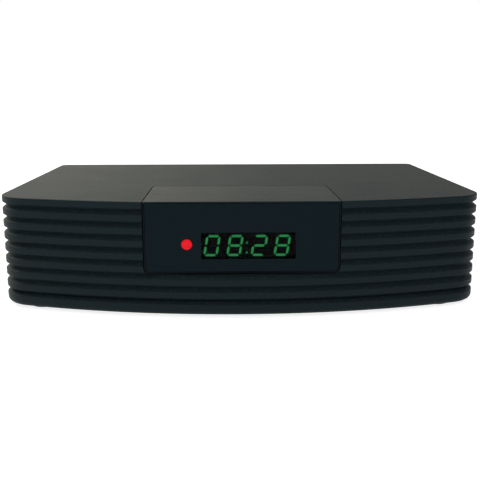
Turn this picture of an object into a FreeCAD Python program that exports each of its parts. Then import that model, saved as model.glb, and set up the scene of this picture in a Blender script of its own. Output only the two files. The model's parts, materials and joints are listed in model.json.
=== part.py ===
import FreeCAD, Part
import math
import os

# Satellite receiver, a low set-top box with a bowed front and a ribbed wall that wraps the front
# and both sides. Lengths are in millimetres. X runs across the front, Y from the front to the
# back and Z up. The origin is under the middle of the whole object, on the surface it stands on.

Vec = FreeCAD.Vector
X_AXIS = Vec(1, 0, 0)
Y_AXIS = Vec(0, 1, 0)
Z_AXIS = Vec(0, 0, 1)
PAST = 1.0  # how far a cutting solid runs past the face that it cuts
TINY = 0.01  # how close an edge lies to a plane to count as being on it
PARALLEL = 0.999  # cosine above which an edge runs along an axis

# Case
CASE_WIDTH = 215.0
CASE_DEPTH = 153.0  # foremost point of the bow to the back edge
CASE_HEIGHT = 48.9  # underside of the base to the deck
FOOT_STAND = 1.6  # height of the base above the table
FRONT_BOW = 19.7  # how far the front bulges over the full width
FRONT_CORNER_R = 16.0
BACK_CORNER_R = 4.0
DECK_EDGE = 0.8  # chamfer round the deck
BASE_EDGE = 2.2  # chamfer round the underside
WALL = 1.8  # wall left behind the groove floors
DECK_THICK = 2.2
FLOOR_THICK = 2.2
REAR_LIP = 1.6  # lip of the case behind the rear panel
REAR_LIP_REACH = 2.2  # how far that lip overlaps the panel's edge
REAR_REACH = 10.0  # how far the aerial sockets stand out of the back

# Ribbed wall
GROOVE_COUNT = 8
DECK_BAND = 4.3  # deck to the middle of the first groove
BASE_BAND = 6.1  # underside to the middle of the last groove, where the case parts
RIB_DEPTH = 2.0
RIB_NOSE = 2.5  # height of a rib's flat nose

# Joint of the two case halves
TONGUE_GAP = 0.2
TONGUE_THICK = 1.2
TONGUE_HEIGHT = 2.0
TONGUE_BACK_STOP = 7.0  # the tongue ends this far before the back
POST_INSET = 9.0  # post axis before the side wall
POST_FRONT = 42.0  # behind the bow
POST_BACK = 16.0  # before the back
POST_R = 3.5
POST_BORE_R = 1.5
POST_BORE_DEPTH = 14.0
POST_WEB = 1.6
POST_WEB_LIFT = 2.65  # webs start this far above the joint, over the tongue
POST_WEB_BOND = 0.5  # how far a web runs into the wall
BOSS_R = 4.0
SCREW_CLEAR_R = 1.6
SCREW_SHANK_R = 1.4
SCREW_HEAD_R = 2.8
SCREW_HEAD_THICK = 2.0
SCREW_REACH = 11.0  # thread length inside the post
COUNTERBORE_R = 3.2
COUNTERBORE_DEPTH = 3.4

# Feet and base vents
FOOT_INSET = 17.9  # foot axis before the side wall
FOOT_FRONT = 26.1
FOOT_BACK = 22.0
FOOT_R = 6.65
VENT_ROWS = 2
VENT_COUNT = 9
VENT_WIDTH = 2.4
VENT_LENGTH = 26.0
VENT_PITCH = 9.0
VENT_ROW_PITCH = 34.0
VENT_CENTRE = 84.0  # middle of the vents behind the bow

# Hood let into the deck and the front
HOOD_WIDTH = 83.2
HOOD_SET_BACK = 2.9  # flat face behind the foremost point of the bow
HOOD_LENGTH = 48.8
HOOD_DROP = 30.8  # how far the flat face comes down from the deck
HOOD_SEAM = 0.4
HOOD_BACK_R = 2.5
HOOD_BOTTOM_R = 2.4
HOOD_EDGE_R = 0.4
HOOD_RETURN = 8.0  # depth of the box behind the flat face
HOOD_SKIN = 1.8
HOOD_WEB = 1.5  # wall behind the glossy panel
HOOK_X = 20.0
HOOK_WIDTH = 8.0
HOOK_THICK = 1.5
HOOK_REACH = 4.0
HOOK_GAP = 0.25
SHELF_THICK = 2.0
SHELF_LIP = 3.5
SHELF_BOND = 2.0
SHELF_START_GAP = 0.6
EAR_INNER_X = 24.0
EAR_OUTER_X = 36.0
EAR_THICK = 4.0
EAR_DEPTH = 14.0
HOOD_BOSS_X = 30.0
HOOD_BOSS_BACK = 6.2  # boss axis before the hood's back edge
HOOD_BOSS_R = 3.2
HOOD_BOSS_GAP = 0.2
HOOD_BORE_R = 1.15
HOOD_BORE_TOP = 1.2  # skin left over the blind bore
HOOD_SCREW_R = 1.1
HOOD_SCREW_HEAD_R = 4.5
HOOD_SCREW_HEAD_THICK = 1.8
HOOD_SCREW_END_GAP = 0.3

# Glossy front panel, lamp and display
PANEL_RIM = 0.6
PANEL_GAP = 0.1
PANEL_THICK = 1.5
WINDOW_X = 2.7
WINDOW_WIDTH = 40.0
WINDOW_HEIGHT = 11.3
WINDOW_DROP = 13.3  # deck to the top of the window
FILTER_GAP = 0.1
FILTER_FLANGE = 1.2
FILTER_FLANGE_THICK = 1.0
LAMP_X = -23.4
LAMP_DROP = 18.3
LAMP_R = 2.2
LAMP_GAP = 0.1
LAMP_PROUD = 0.25
LAMP_FLANGE = 0.8
LAMP_LENGTH = 5.4  # panel face to the back end of the light pipe
MODULE_WIDTH = 40.2
MODULE_HEIGHT = 12.8
MODULE_DEPTH = 7.0
MODULE_GAP = 0.2
DIGIT_HEIGHT = 9.2
DIGIT_WIDTH = 6.3
DIGIT_LEFT = 0.7  # window edge to the foot of the first digit
DIGIT_PITCH = 9.7
COLON_EXTRA = 0.6
STROKE = 1.2
SEGMENT_GAP = 0.18
SEGMENT_THICK = 0.12
SLANT_DEG = 9.5
COLON_DOT = 1.2
COLON_SPREAD = 4.3
COLON_DROP = 0.9  # its middle below the middle of the digits
READOUT = "0828"
HOUR_DIGITS = 2  # the colon follows these
SEGMENTS_OF = {"0": "abcdef", "2": "abged", "8": "abcdefg"}

# Display board
BOARD_THICK = 1.6
DISPLAY_BOARD_WIDTH = 75.0
DISPLAY_BOARD_HEIGHT = 22.0
DISPLAY_BOARD_X = 2.0
DISPLAY_BOARD_MARGIN = 1.5  # board below the module
DISPLAY_BOSS_INSET = 2.9
DISPLAY_BOSS_R = 2.4
DISPLAY_BORE_R = 1.05
DISPLAY_SCREW_R = 1.0
DISPLAY_SCREW_HEAD_R = 2.0
DISPLAY_SCREW_HEAD_THICK = 1.4
DISPLAY_SCREW_REACH = 5.0
DISPLAY_SCREW_END_GAP = 0.5
DISPLAY_HOLE_R = 1.3
RECEIVER_X = 30.0
RECEIVER_WIDTH = 5.6
RECEIVER_HEIGHT = 7.0
RECEIVER_DEPTH = 4.6
RECEIVER_LENS_R = 2.0
RECEIVER_LENS = 1.6
RECEIVER_EYE_GAP = 1.0
LED_R = 1.5
LED_GAP = 0.3
LED_COLLAR_R = 1.9
LED_COLLAR = 1.0

# Main board
BOARD_STAND = 5.0
BOARD_SIDE_GAP = 15.5  # side of the case to the board's edge
BOARD_FRONT = 44.0
BOARD_BACK_GAP = 1.0  # board edge to the rear panel
BOARD_HOLE_INSET = 8.0  # hole before the board's side edge
BOARD_HOLES_FRONT = 52.0  # behind the bow
BOARD_HOLE_BACK_LEFT = 14.0  # before the back edge
BOARD_HOLE_BACK_RIGHT = 48.0  # before the back edge, in front of the tuner
BOARD_HOLE_R = 1.6
STANDOFF_R = 3.25
STANDOFF_BORE_R = 1.25
STANDOFF_BORE_DEPTH = 4.5
BOARD_SCREW_R = 1.2
BOARD_SCREW_REACH = 4.0
BOARD_SCREW_HEAD_R = 2.7
BOARD_SCREW_HEAD_THICK = 2.0

# Rear panel
REAR_THICK = 1.5
REAR_SIDE_GAP = 0.25
REAR_TOP_GAP = 0.2
REAR_SLOT_GAP = 0.1
REAR_RIB_THICK = 1.2
REAR_RIB_HEIGHT = 3.6
REAR_CLIP_X = 60.0
REAR_CLIP_WIDTH = 20.0
REAR_HOLE_GAP = 0.3
REAR_VENT_COUNT = 15
REAR_VENT_WIDTH = 2.2
REAR_VENT_HEIGHT = 9.0
REAR_VENT_PITCH = 5.0
REAR_VENT_X = 10.0
REAR_VENT_DROP = 7.5  # deck to the top of the slots

# Tuner and its aerial sockets
TUNER_SHARE = 0.65  # place across the back, in parts of the half width, as for each socket below
TUNER_WIDTH = 43.0
TUNER_DEPTH = 33.0
TUNER_HEIGHT = 14.5
TUNER_WALL = 0.6
LID_THICK = 0.5
LID_GAP = 0.1
LID_FLANGE = 4.0
SOCKET_PITCH = 20.0
SOCKET_RISE = 7.0  # socket axis above the board
SOCKET_R = 4.76
SOCKET_BORE_R = 3.7
SOCKET_COLLAR_R = 6.0
SOCKET_COLLAR_GAP = 0.1
SOCKET_RELIEF = 1.2  # length of the thread relief that ends the free part of the barrel
SOCKET_RELIEF_DEEP = 0.3
INSULATOR_RECESS = 1.2
CONTACT_HOLE_R = 0.7
CONTACT_HOLE_DEPTH = 7.0
NUT_FLATS = 12.0
NUT_THICK = 2.2
NUT_GAP = 0.08

# Video, data and sound sockets
MOUTH_PROUD = 0.3  # how far the socket mouths stand out of the panel
SHELL_THICK = 0.4
VIDEO_SHARE = -0.03
VIDEO_WIDTH = 15.0
VIDEO_HEIGHT = 6.2
VIDEO_DEPTH = 11.5
VIDEO_FOOT_WIDTH = 11.2
VIDEO_SHOULDER = 2.3
VIDEO_FOOT_SHRINK = 0.6  # parts of the wall's thickness by which the inner corners move in and up
VIDEO_SHOULDER_SHRINK = 0.2
VIDEO_TONGUE_WIDTH = 11.0
VIDEO_TONGUE_THICK = 1.0
VIDEO_TONGUE_LENGTH = 8.5
VIDEO_TONGUE_RISE = 3.0
DATA_SHARE = 0.355
DATA_WIDTH = 13.3
DATA_HEIGHT = 5.92
DATA_DEPTH = 14.0
DATA_TONGUE_WIDTH = 11.1
DATA_TONGUE_THICK = 1.84
DATA_TONGUE_LENGTH = 9.5
DATA_TONGUE_RISE = 3.1
NETWORK_SHARE = 0.17
NETWORK_WIDTH = 16.0
NETWORK_HEIGHT = 13.5
NETWORK_DEPTH = 16.0
NETWORK_MOUTH_WIDTH = 11.9
NETWORK_MOUTH_HEIGHT = 8.2
NETWORK_MOUTH_RISE = 3.6
NETWORK_MOUTH_DEPTH = 12.5
NETWORK_LATCH_WIDTH = 6.2
NETWORK_LATCH_DROP = 1.9
NETWORK_PINS = 8
NETWORK_PIN_PITCH = 1.02
NETWORK_PIN_THICK = 0.4
NETWORK_PIN_LOW = 2.2  # how far the springs hang below the mouth's ceiling
NETWORK_PIN_LENGTH = 8.5
NETWORK_PIN_ROOT = 1.0  # stretch of a spring that touches the ceiling
SOUND_SHARE = -0.185
SOUND_WIDTH = 8.0
SOUND_HEIGHT = 9.0
SOUND_DEPTH = 13.0
SOUND_RISE = 5.0
SOUND_NOSE_R = 3.4
SOUND_BORE_R = 1.8
SOUND_BORE_DEPTH = 14.0
SOUND_PROUD = 1.2

# Optical socket and its shutter
OPTICAL_SHARE = -0.325
OPTICAL_WIDTH = 10.4
OPTICAL_HEIGHT = 10.4
OPTICAL_DEPTH = 13.0
OPTICAL_CAVITY = 8.0
OPTICAL_CAVITY_DEPTH = 9.6
OPTICAL_PORT_R = 1.3
OPTICAL_PORT_DEPTH = 2.0
SHUTTER_SIDE_GAP = 0.3
SHUTTER_FLOOR_GAP = 0.3
SHUTTER_THICK = 0.8
SHUTTER_BACK_SET = 1.3  # pivot behind the mouth
SHUTTER_PIVOT_DROP = 0.9  # pivot below the cavity's ceiling
SHUTTER_HUB_R = 0.6
SHUTTER_PIN_R = 0.5
SHUTTER_PIN_GAP = 0.05
SHUTTER_PIN_REACH = 0.7  # how far each pin enters the side wall
SHUTTER_PIN_END_GAP = 0.1

# Power inlet
POWER_SHARE = -0.485
POWER_WIDTH = 9.0
POWER_HEIGHT = 11.0
POWER_DEPTH = 14.5
POWER_RISE = 6.0
POWER_BORE_R = 3.15
POWER_BORE_DEPTH = 9.5
POWER_PIN_R = 1.0
POWER_PIN_SHORT = 0.6  # the pin ends this far inside the mouth
POWER_PIN_TIP = 0.4

# Rocker switch
SWITCH_SHARE = -0.725
SWITCH_Z = 27.0
SWITCH_BEZEL_WIDTH = 21.0
SWITCH_BEZEL_HEIGHT = 15.0
SWITCH_BEZEL_THICK = 2.0
SWITCH_BEZEL_EDGE = 0.6
SWITCH_BODY_WIDTH = 19.4
SWITCH_BODY_HEIGHT = 13.2
SWITCH_BODY_DEPTH = 16.0
SWITCH_WELL_WIDTH = 17.8
SWITCH_WELL_HEIGHT = 11.0
SWITCH_PIVOT_SET = 3.0  # pivot behind the bezel's face
SWITCH_WELL_BELOW = 5.4  # floor of the well behind the pivot
ROCKER_R = 8.7
ROCKER_GAP = 0.25
ROCKER_EDGE_RISE = 2.3  # neutral rocker's ends before the pivot
ROCKER_MID_RISE = 3.1
ROCKER_SKIRT = 2.6
ROCKER_TILT = 9.0  # each way from neutral
TRUNNION_R = 1.2
TRUNNION_GAP = 0.05
TRUNNION_REACH = 0.8
BLADE_X = 3.6
BLADE_WIDTH = 0.8
BLADE_HEIGHT = 4.8
BLADE_LENGTH = 7.0
LEAD_WIDTH = 2.4
LEAD_THICK = 1.6
LEAD_BEND_R = 8.0
LEAD_HEADER_WIDTH = 12.4
LEAD_HEADER_DEPTH = 6.0
LEAD_HEADER_HEIGHT = 6.5

# Ribbon between the two boards
RIBBON_WIDTH = 15.0
RIBBON_THICK = 0.9
RIBBON_BEND_SHARE = 0.4  # radius of each bend in parts of the drop between the headers
RIBBON_STRAIGHT = 3.0
HEADER_WIDTH = 18.0
HEADER_DEPTH = 6.0
HEADER_HEIGHT = 6.0
HEADER_SET_BACK = 5.0  # main board's header behind the board's front edge
DISPLAY_HEADER_RISE = 5.5  # header's middle above the display board's lower edge

# Parts on the main board, placed by their middle across and behind the bow
CHIP_AT = (-5.0, 88.0)
CHIP_SIDE = 21.0
CHIP_THICK = 1.6
PAD_SIDE = 19.0
PAD_THICK = 0.5
SINK_SIDE = 32.0
SINK_BASE = 2.0
SINK_HEIGHT = 9.0
SINK_FINS = 7
SINK_FIN_THICK = 1.4
MEMORY_AT = ((27.0, 80.0), (27.0, 96.0))
MEMORY_SIZE = (13.0, 9.0, 1.1)
CAPACITOR_AT = ((-0.67, 92.0), (-0.56, 92.0), (-0.67, 76.0), (-0.37, 66.0))  # x in parts of the half width
CAPACITOR_R = 4.0
CAPACITOR_HEIGHT = 11.0
INDUCTOR_AT = ((-58.0, 108.0), (-44.0, 108.0))
INDUCTOR_SIZE = (8.0, 8.0, 4.2)
CRYSTAL_AT = (-32.0, 84.0)
CRYSTAL_SIZE = (11.2, 4.7, 3.6)
TRANSFORMER_AT = (18.0, 122.0)
TRANSFORMER_SIZE = (16.0, 8.0, 5.2)

# Places that follow from the values above
FRONT_Y = -(CASE_DEPTH + REAR_REACH) / 2
BACK_Y = FRONT_Y + CASE_DEPTH
BASE_Z = FOOT_STAND
DECK_Z = BASE_Z + CASE_HEIGHT
FLOOR_Z = BASE_Z + FLOOR_THICK
DECK_UNDER_Z = DECK_Z - DECK_THICK
SPLIT_Z = BASE_Z + BASE_BAND
RIB_PITCH = (CASE_HEIGHT - DECK_BAND - BASE_BAND) / (GROOVE_COUNT - 1)
SIDE_X = CASE_WIDTH / 2
BOW_R = (SIDE_X**2 + FRONT_BOW**2) / (2 * FRONT_BOW)
BOW_Y = FRONT_Y + BOW_R
CORNER_X = SIDE_X - FRONT_CORNER_R
POST_X = SIDE_X - POST_INSET
FOOT_X = SIDE_X - FOOT_INSET
BOARD_X = SIDE_X - BOARD_SIDE_GAP
CORNER_Y = BOW_Y - math.sqrt((BOW_R - FRONT_CORNER_R) ** 2 - CORNER_X**2)
CORNER_ANGLE = math.atan2(CORNER_Y - BOW_Y, CORNER_X)
COVER_INSET = RIB_DEPTH + WALL
TONGUE_INSET = COVER_INSET + TONGUE_GAP
BASE_INSET = TONGUE_INSET + TONGUE_THICK

HOOD_FRONT_Y = FRONT_Y + HOOD_SET_BACK
HOOD_BACK_Y = HOOD_FRONT_Y + HOOD_LENGTH
HOOD_HALF = HOOD_WIDTH / 2
HOOD_BOTTOM_Z = DECK_Z - HOOD_DROP
HOOD_BOX_Y = HOOD_FRONT_Y + HOOD_RETURN
HOOD_BOSS_Y = HOOD_BACK_Y - HOOD_BOSS_BACK
NOTCH_HALF = HOOD_HALF + HOOD_SEAM
NOTCH_BACK_Y = HOOD_BACK_Y + HOOD_SEAM
PANEL_BACK_Y = HOOD_FRONT_Y + PANEL_THICK
WEB_BACK_Y = PANEL_BACK_Y + HOOD_WEB
WINDOW_TOP_Z = DECK_Z - WINDOW_DROP
WINDOW_Z = WINDOW_TOP_Z - WINDOW_HEIGHT / 2
LAMP_Z = DECK_Z - LAMP_DROP
MODULE_FRONT_Y = PANEL_BACK_Y + FILTER_FLANGE_THICK + MODULE_GAP
DISPLAY_BOARD_Y = MODULE_FRONT_Y + MODULE_DEPTH
DISPLAY_BOARD_BACK_Y = DISPLAY_BOARD_Y + BOARD_THICK
DISPLAY_BOARD_Z = WINDOW_Z - MODULE_HEIGHT / 2 - DISPLAY_BOARD_MARGIN

BOARD_Z = FLOOR_Z + BOARD_STAND + BOARD_THICK
PANEL_OUT_Y = BACK_Y - REAR_LIP
PANEL_IN_Y = PANEL_OUT_Y - REAR_THICK
BOARD_FRONT_Y = FRONT_Y + BOARD_FRONT
BOARD_BACK_Y = PANEL_IN_Y - BOARD_BACK_GAP
MOUTH_Y = PANEL_OUT_Y + MOUTH_PROUD
TUNER_X = TUNER_SHARE * SIDE_X
SOCKET_X = (TUNER_X - SOCKET_PITCH / 2, TUNER_X + SOCKET_PITCH / 2)
DATA_X = DATA_SHARE * SIDE_X
NETWORK_X = NETWORK_SHARE * SIDE_X
VIDEO_X = VIDEO_SHARE * SIDE_X
SOUND_X = SOUND_SHARE * SIDE_X
OPTICAL_X = OPTICAL_SHARE * SIDE_X
POWER_X = POWER_SHARE * SIDE_X
SWITCH_X = SWITCH_SHARE * SIDE_X
SOCKET_Z = BOARD_Z + SOCKET_RISE
SOCKET_END_Y = BACK_Y + REAR_REACH
NUT_END_Y = PANEL_OUT_Y + NUT_THICK
SWITCH_FACE_Y = PANEL_OUT_Y + SWITCH_BEZEL_THICK
SWITCH_PIVOT_Y = SWITCH_FACE_Y - SWITCH_PIVOT_SET
SWITCH_BACK_Y = PANEL_OUT_Y - SWITCH_BODY_DEPTH
SHUTTER_Y = MOUTH_Y - SHUTTER_BACK_SET
OPTICAL_Z = BOARD_Z + OPTICAL_HEIGHT / 2
SHUTTER_Z = OPTICAL_Z + OPTICAL_CAVITY / 2 - SHUTTER_PIVOT_DROP


# Simple solids


def block(x0, x1, y0, y1, z0, z1):
    """Box between two opposite corners."""
    return Part.makeBox(x1 - x0, y1 - y0, z1 - z0, Vec(x0, y0, z0))


def wide_block(x, width, y0, y1, z0, z1):
    """Box centred on x."""
    return block(x - width / 2, x + width / 2, y0, y1, z0, z1)


def rod(radius, x, y, z, length, axis=Z_AXIS):
    """Round bar that starts at a point and runs along an axis."""
    return Part.makeCylinder(radius, length, Vec(x, y, z), axis)


def prism(points, sweep):
    """Closed outline swept straight."""
    return Part.Face(Part.makePolygon(points + points[:1])).extrude(sweep)


def runs_along(edge, axis):
    """True for a straight edge that is parallel to the axis."""
    if not isinstance(edge.Curve, Part.Line):
        return False
    return abs(edge.tangentAt(edge.FirstParameter).dot(axis)) > PARALLEL


def rounded(shape, radius, wanted):
    """Shape with a fillet on each edge that the test picks."""
    return shape.makeFillet(radius, [edge for edge in shape.Edges if wanted(edge)])


def slot(width, length, x, y, z0, z1, along=Y_AXIS):
    """Upright solid of a slot with round ends, centred on x and y, for cutting."""
    half = (length - width) / 2
    ends = [Vec(x, y, z0) - along * half, Vec(x, y, z0) + along * half]
    side = Z_AXIS.cross(along) * (width / 2)
    edges = [
        Part.LineSegment(ends[0] + side, ends[1] + side).toShape(),
        Part.Arc(ends[1] + side, ends[1] + along * (width / 2), ends[1] - side).toShape(),
        Part.LineSegment(ends[1] - side, ends[0] - side).toShape(),
        Part.Arc(ends[0] - side, ends[0] - along * (width / 2), ends[0] + side).toShape(),
    ]
    return Part.Face(Part.Wire(edges)).extrude(Z_AXIS * (z1 - z0))


def both_sides(shape):
    """The shape and its mirror image across the middle."""
    return [shape, shape.mirror(Vec(0, 0, 0), X_AXIS)]


def screw(x, y, z, axis, shank_r, shank, head_r, head):
    """Screw with a flat round head: its seat is at the point, the shank runs along the axis."""
    base = Vec(x, y, z)
    cap = Part.makeCylinder(head_r, head, base, axis * -1)
    return cap.fuse(Part.makeCylinder(shank_r, shank, base, axis))


# Plan of the case


def plan_slab(inset, back_inset, z0, z1):
    """Solid with the case's plan, drawn in by an inset at the sides and front and one at the back."""
    side = SIDE_X - inset
    back = BACK_Y - back_inset
    bow = BOW_R - inset
    corner = FRONT_CORNER_R - inset
    back_r = BACK_CORNER_R - inset

    def at(x, y):
        return Vec(x, y, z0)

    def around(x, y, radius, angle):
        return at(x + radius * math.cos(angle), y + radius * math.sin(angle))

    meet = around(0, BOW_Y, bow, CORNER_ANGLE)
    bulge = around(CORNER_X, CORNER_Y, corner, CORNER_ANGLE / 2)
    flip = [Vec(-p.x, p.y, p.z) for p in (meet, bulge)]
    edges = [
        Part.Arc(flip[0], at(0, BOW_Y - bow), meet).toShape(),
        Part.Arc(meet, bulge, at(side, CORNER_Y)).toShape(),
    ]
    if back_r > 0:
        shift = back_r * math.sqrt(0.5)
        mid = (side - back_r + shift, back - back_r + shift)
        edges += [
            Part.LineSegment(at(side, CORNER_Y), at(side, back - back_r)).toShape(),
            Part.Arc(at(side, back - back_r), at(*mid), at(side - back_r, back)).toShape(),
            Part.LineSegment(at(side - back_r, back), at(back_r - side, back)).toShape(),
            Part.Arc(at(back_r - side, back), at(-mid[0], mid[1]), at(-side, back - back_r)).toShape(),
            Part.LineSegment(at(-side, back - back_r), at(-side, CORNER_Y)).toShape(),
        ]
    else:
        edges += [
            Part.LineSegment(at(side, CORNER_Y), at(side, back)).toShape(),
            Part.LineSegment(at(side, back), at(-side, back)).toShape(),
            Part.LineSegment(at(-side, back), at(-side, CORNER_Y)).toShape(),
        ]
    edges.append(Part.Arc(at(-side, CORNER_Y), flip[1], flip[0]).toShape())
    return Part.Face(Part.Wire(edges)).extrude(Z_AXIS * (z1 - z0))


def groove_section(x, y, out_x, out_y, z):
    """Section of one groove in the upright plane through a point of the wall.

    Its two flanks slope out from the floor line to the noses of the ribs above and below.
    """
    mouth = (RIB_PITCH - RIB_NOSE) / 2
    outline = [(PAST, mouth), (0, mouth), (-RIB_DEPTH, 0), (0, -mouth), (PAST, -mouth)]
    points = [Vec(x + out_x * u, y + out_y * u, z + v) for u, v in outline]
    return Part.Face(Part.makePolygon(points + points[:1]))


def groove_cutters(z):
    """One groove carried along the sides, round the front corners and along the bow."""
    out_x = math.cos(CORNER_ANGLE)
    out_y = math.sin(CORNER_ANGLE)
    side = groove_section(SIDE_X, CORNER_Y, 1, 0, z)
    straight = side.extrude(Y_AXIS * (BACK_Y + PAST - CORNER_Y))
    corner = side.revolve(Vec(CORNER_X, CORNER_Y, z), Z_AXIS, math.degrees(CORNER_ANGLE))
    meet = groove_section(BOW_R * out_x, BOW_Y + BOW_R * out_y, out_x, out_y, z)
    sweep = -180 - 2 * math.degrees(CORNER_ANGLE)
    front = meet.revolve(Vec(0, BOW_Y, z), Z_AXIS, sweep)
    return both_sides(straight) + both_sides(corner) + [front]


def ribbed_block():
    """The whole outside of the case as one solid: edges rounded, grooves cut."""
    body = plan_slab(0, 0, BASE_Z, DECK_Z)
    body = body.makeChamfer(DECK_EDGE, [edge for edge in body.Edges if edge.BoundBox.ZMin > DECK_Z - TINY])
    body = body.makeChamfer(BASE_EDGE, [edge for edge in body.Edges if edge.BoundBox.ZMax < BASE_Z + TINY])
    cutters = []
    for row in range(GROOVE_COUNT):
        cutters += groove_cutters(SPLIT_Z + row * RIB_PITCH)
    return body.cut(cutters)


def post_places():
    """Middle of each of the four case screws."""
    rows = (FRONT_Y + POST_FRONT, BACK_Y - POST_BACK)
    return [(x, y) for y in rows for x in (-POST_X, POST_X)]


def bow_inner_y(x, inset):
    """Y of the bow drawn in by an inset, at a distance across from the middle."""
    return BOW_Y - math.sqrt((BOW_R - inset) ** 2 - x**2)


# Case halves and hood


def hood_notch():
    """Room for the hood: a notch through the deck and one down the front wall."""
    deck = rounded(
        block(-NOTCH_HALF, NOTCH_HALF, FRONT_Y - PAST, NOTCH_BACK_Y, DECK_UNDER_Z, DECK_Z + PAST),
        HOOD_BACK_R + HOOD_SEAM,
        lambda edge: runs_along(edge, Z_AXIS) and edge.CenterOfMass.y > HOOD_FRONT_Y,
    )
    front = rounded(
        block(
            -NOTCH_HALF,
            NOTCH_HALF,
            FRONT_Y - PAST,
            HOOD_BOX_Y + HOOD_SEAM,
            HOOD_BOTTOM_Z - HOOD_SEAM,
            DECK_Z + PAST,
        ),
        HOOD_BOTTOM_R + HOOD_SEAM,
        lambda edge: runs_along(edge, Y_AXIS) and edge.CenterOfMass.z < WINDOW_Z,
    )
    return deck.fuse(front)


def hood_shelf():
    """Ledge under the deck that the hood's top rests on, with an ear for each hood screw."""
    start = HOOD_BOX_Y + SHELF_START_GAP
    outer = NOTCH_HALF + SHELF_BOND
    back = NOTCH_BACK_Y + SHELF_BOND
    low = DECK_UNDER_Z - SHELF_THICK
    inner = NOTCH_HALF - HOOD_SEAM - SHELF_LIP
    ring = block(-outer, outer, start, back, low, DECK_UNDER_Z)
    ring = ring.cut(block(-inner, inner, start - PAST, NOTCH_BACK_Y - SHELF_LIP, low - PAST, DECK_Z))
    ears = []
    for sign in (-1, 1):
        x0, x1 = sorted((sign * EAR_INNER_X, sign * EAR_OUTER_X))
        ears.append(block(x0, x1, back - EAR_DEPTH, back, DECK_UNDER_Z - EAR_THICK, DECK_UNDER_Z))
    return ring.fuse(ears)


def top_cover(outside):
    """Deck and ribbed wall, open below, with the hood's notch, screw posts and rear window."""
    upper = block(-SIDE_X - PAST, SIDE_X + PAST, FRONT_Y - PAST, BACK_Y + PAST, SPLIT_Z, DECK_Z + PAST)
    body = outside.common(upper)
    body = body.cut(plan_slab(COVER_INSET, REAR_LIP, SPLIT_Z - PAST, DECK_UNDER_Z))
    window_x = SIDE_X - COVER_INSET - REAR_LIP_REACH
    window_top = DECK_UNDER_Z - REAR_LIP_REACH
    behind = BACK_Y + PAST
    body = body.cut(block(-window_x, window_x, PANEL_OUT_Y - PAST, behind, SPLIT_Z - PAST, window_top))
    body = body.cut(hood_notch())
    added = [hood_shelf()]
    for x, y in post_places():
        added.append(rod(POST_R, x, y, SPLIT_Z, DECK_UNDER_Z - SPLIT_Z))
        wall = math.copysign(SIDE_X - COVER_INSET + POST_WEB_BOND, x)
        x0, x1 = sorted((x, wall))
        web_z = SPLIT_Z + POST_WEB_LIFT
        added.append(block(x0, x1, y - POST_WEB / 2, y + POST_WEB / 2, web_z, DECK_UNDER_Z))
    clip_y = PANEL_IN_Y - REAR_SLOT_GAP
    for x in (-REAR_CLIP_X, REAR_CLIP_X):
        low = DECK_UNDER_Z - REAR_RIB_HEIGHT
        added.append(wide_block(x, REAR_CLIP_WIDTH, clip_y - REAR_RIB_THICK, clip_y, low, DECK_UNDER_Z))
    body = body.fuse(added)
    bores = [rod(POST_BORE_R, x, y, SPLIT_Z - PAST, POST_BORE_DEPTH + PAST) for x, y in post_places()]
    for x in (-HOOD_BOSS_X, HOOD_BOSS_X):
        low = DECK_UNDER_Z - EAR_THICK - PAST
        bores.append(rod(HOOD_BOSS_R + HOOD_BOSS_GAP, x, HOOD_BOSS_Y, low, EAR_THICK + 2 * PAST))
    return body.cut(bores).removeSplitter()


def board_places():
    """Middle of each of the main board's screws."""
    x = BOARD_X - BOARD_HOLE_INSET
    front = FRONT_Y + BOARD_HOLES_FRONT
    return [
        (-x, front),
        (x, front),
        (-x, BACK_Y - BOARD_HOLE_BACK_LEFT),
        (x, BACK_Y - BOARD_HOLE_BACK_RIGHT),
    ]


def foot_places():
    """Middle of each rubber foot."""
    rows = (FRONT_Y + FOOT_FRONT, BACK_Y - FOOT_BACK)
    return [(x, y) for y in rows for x in (-FOOT_X, FOOT_X)]


def base_vents():
    """Rows of slots through the floor under the main board."""
    slots = []
    for row in range(VENT_ROWS):
        y = FRONT_Y + VENT_CENTRE + (row - (VENT_ROWS - 1) / 2) * VENT_ROW_PITCH
        for column in range(VENT_COUNT):
            x = (column - (VENT_COUNT - 1) / 2) * VENT_PITCH
            y0 = y - VENT_LENGTH / 2
            slots.append(wide_block(x, VENT_WIDTH, y0, y0 + VENT_LENGTH, BASE_Z - PAST, FLOOR_Z + PAST))
    return slots


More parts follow.
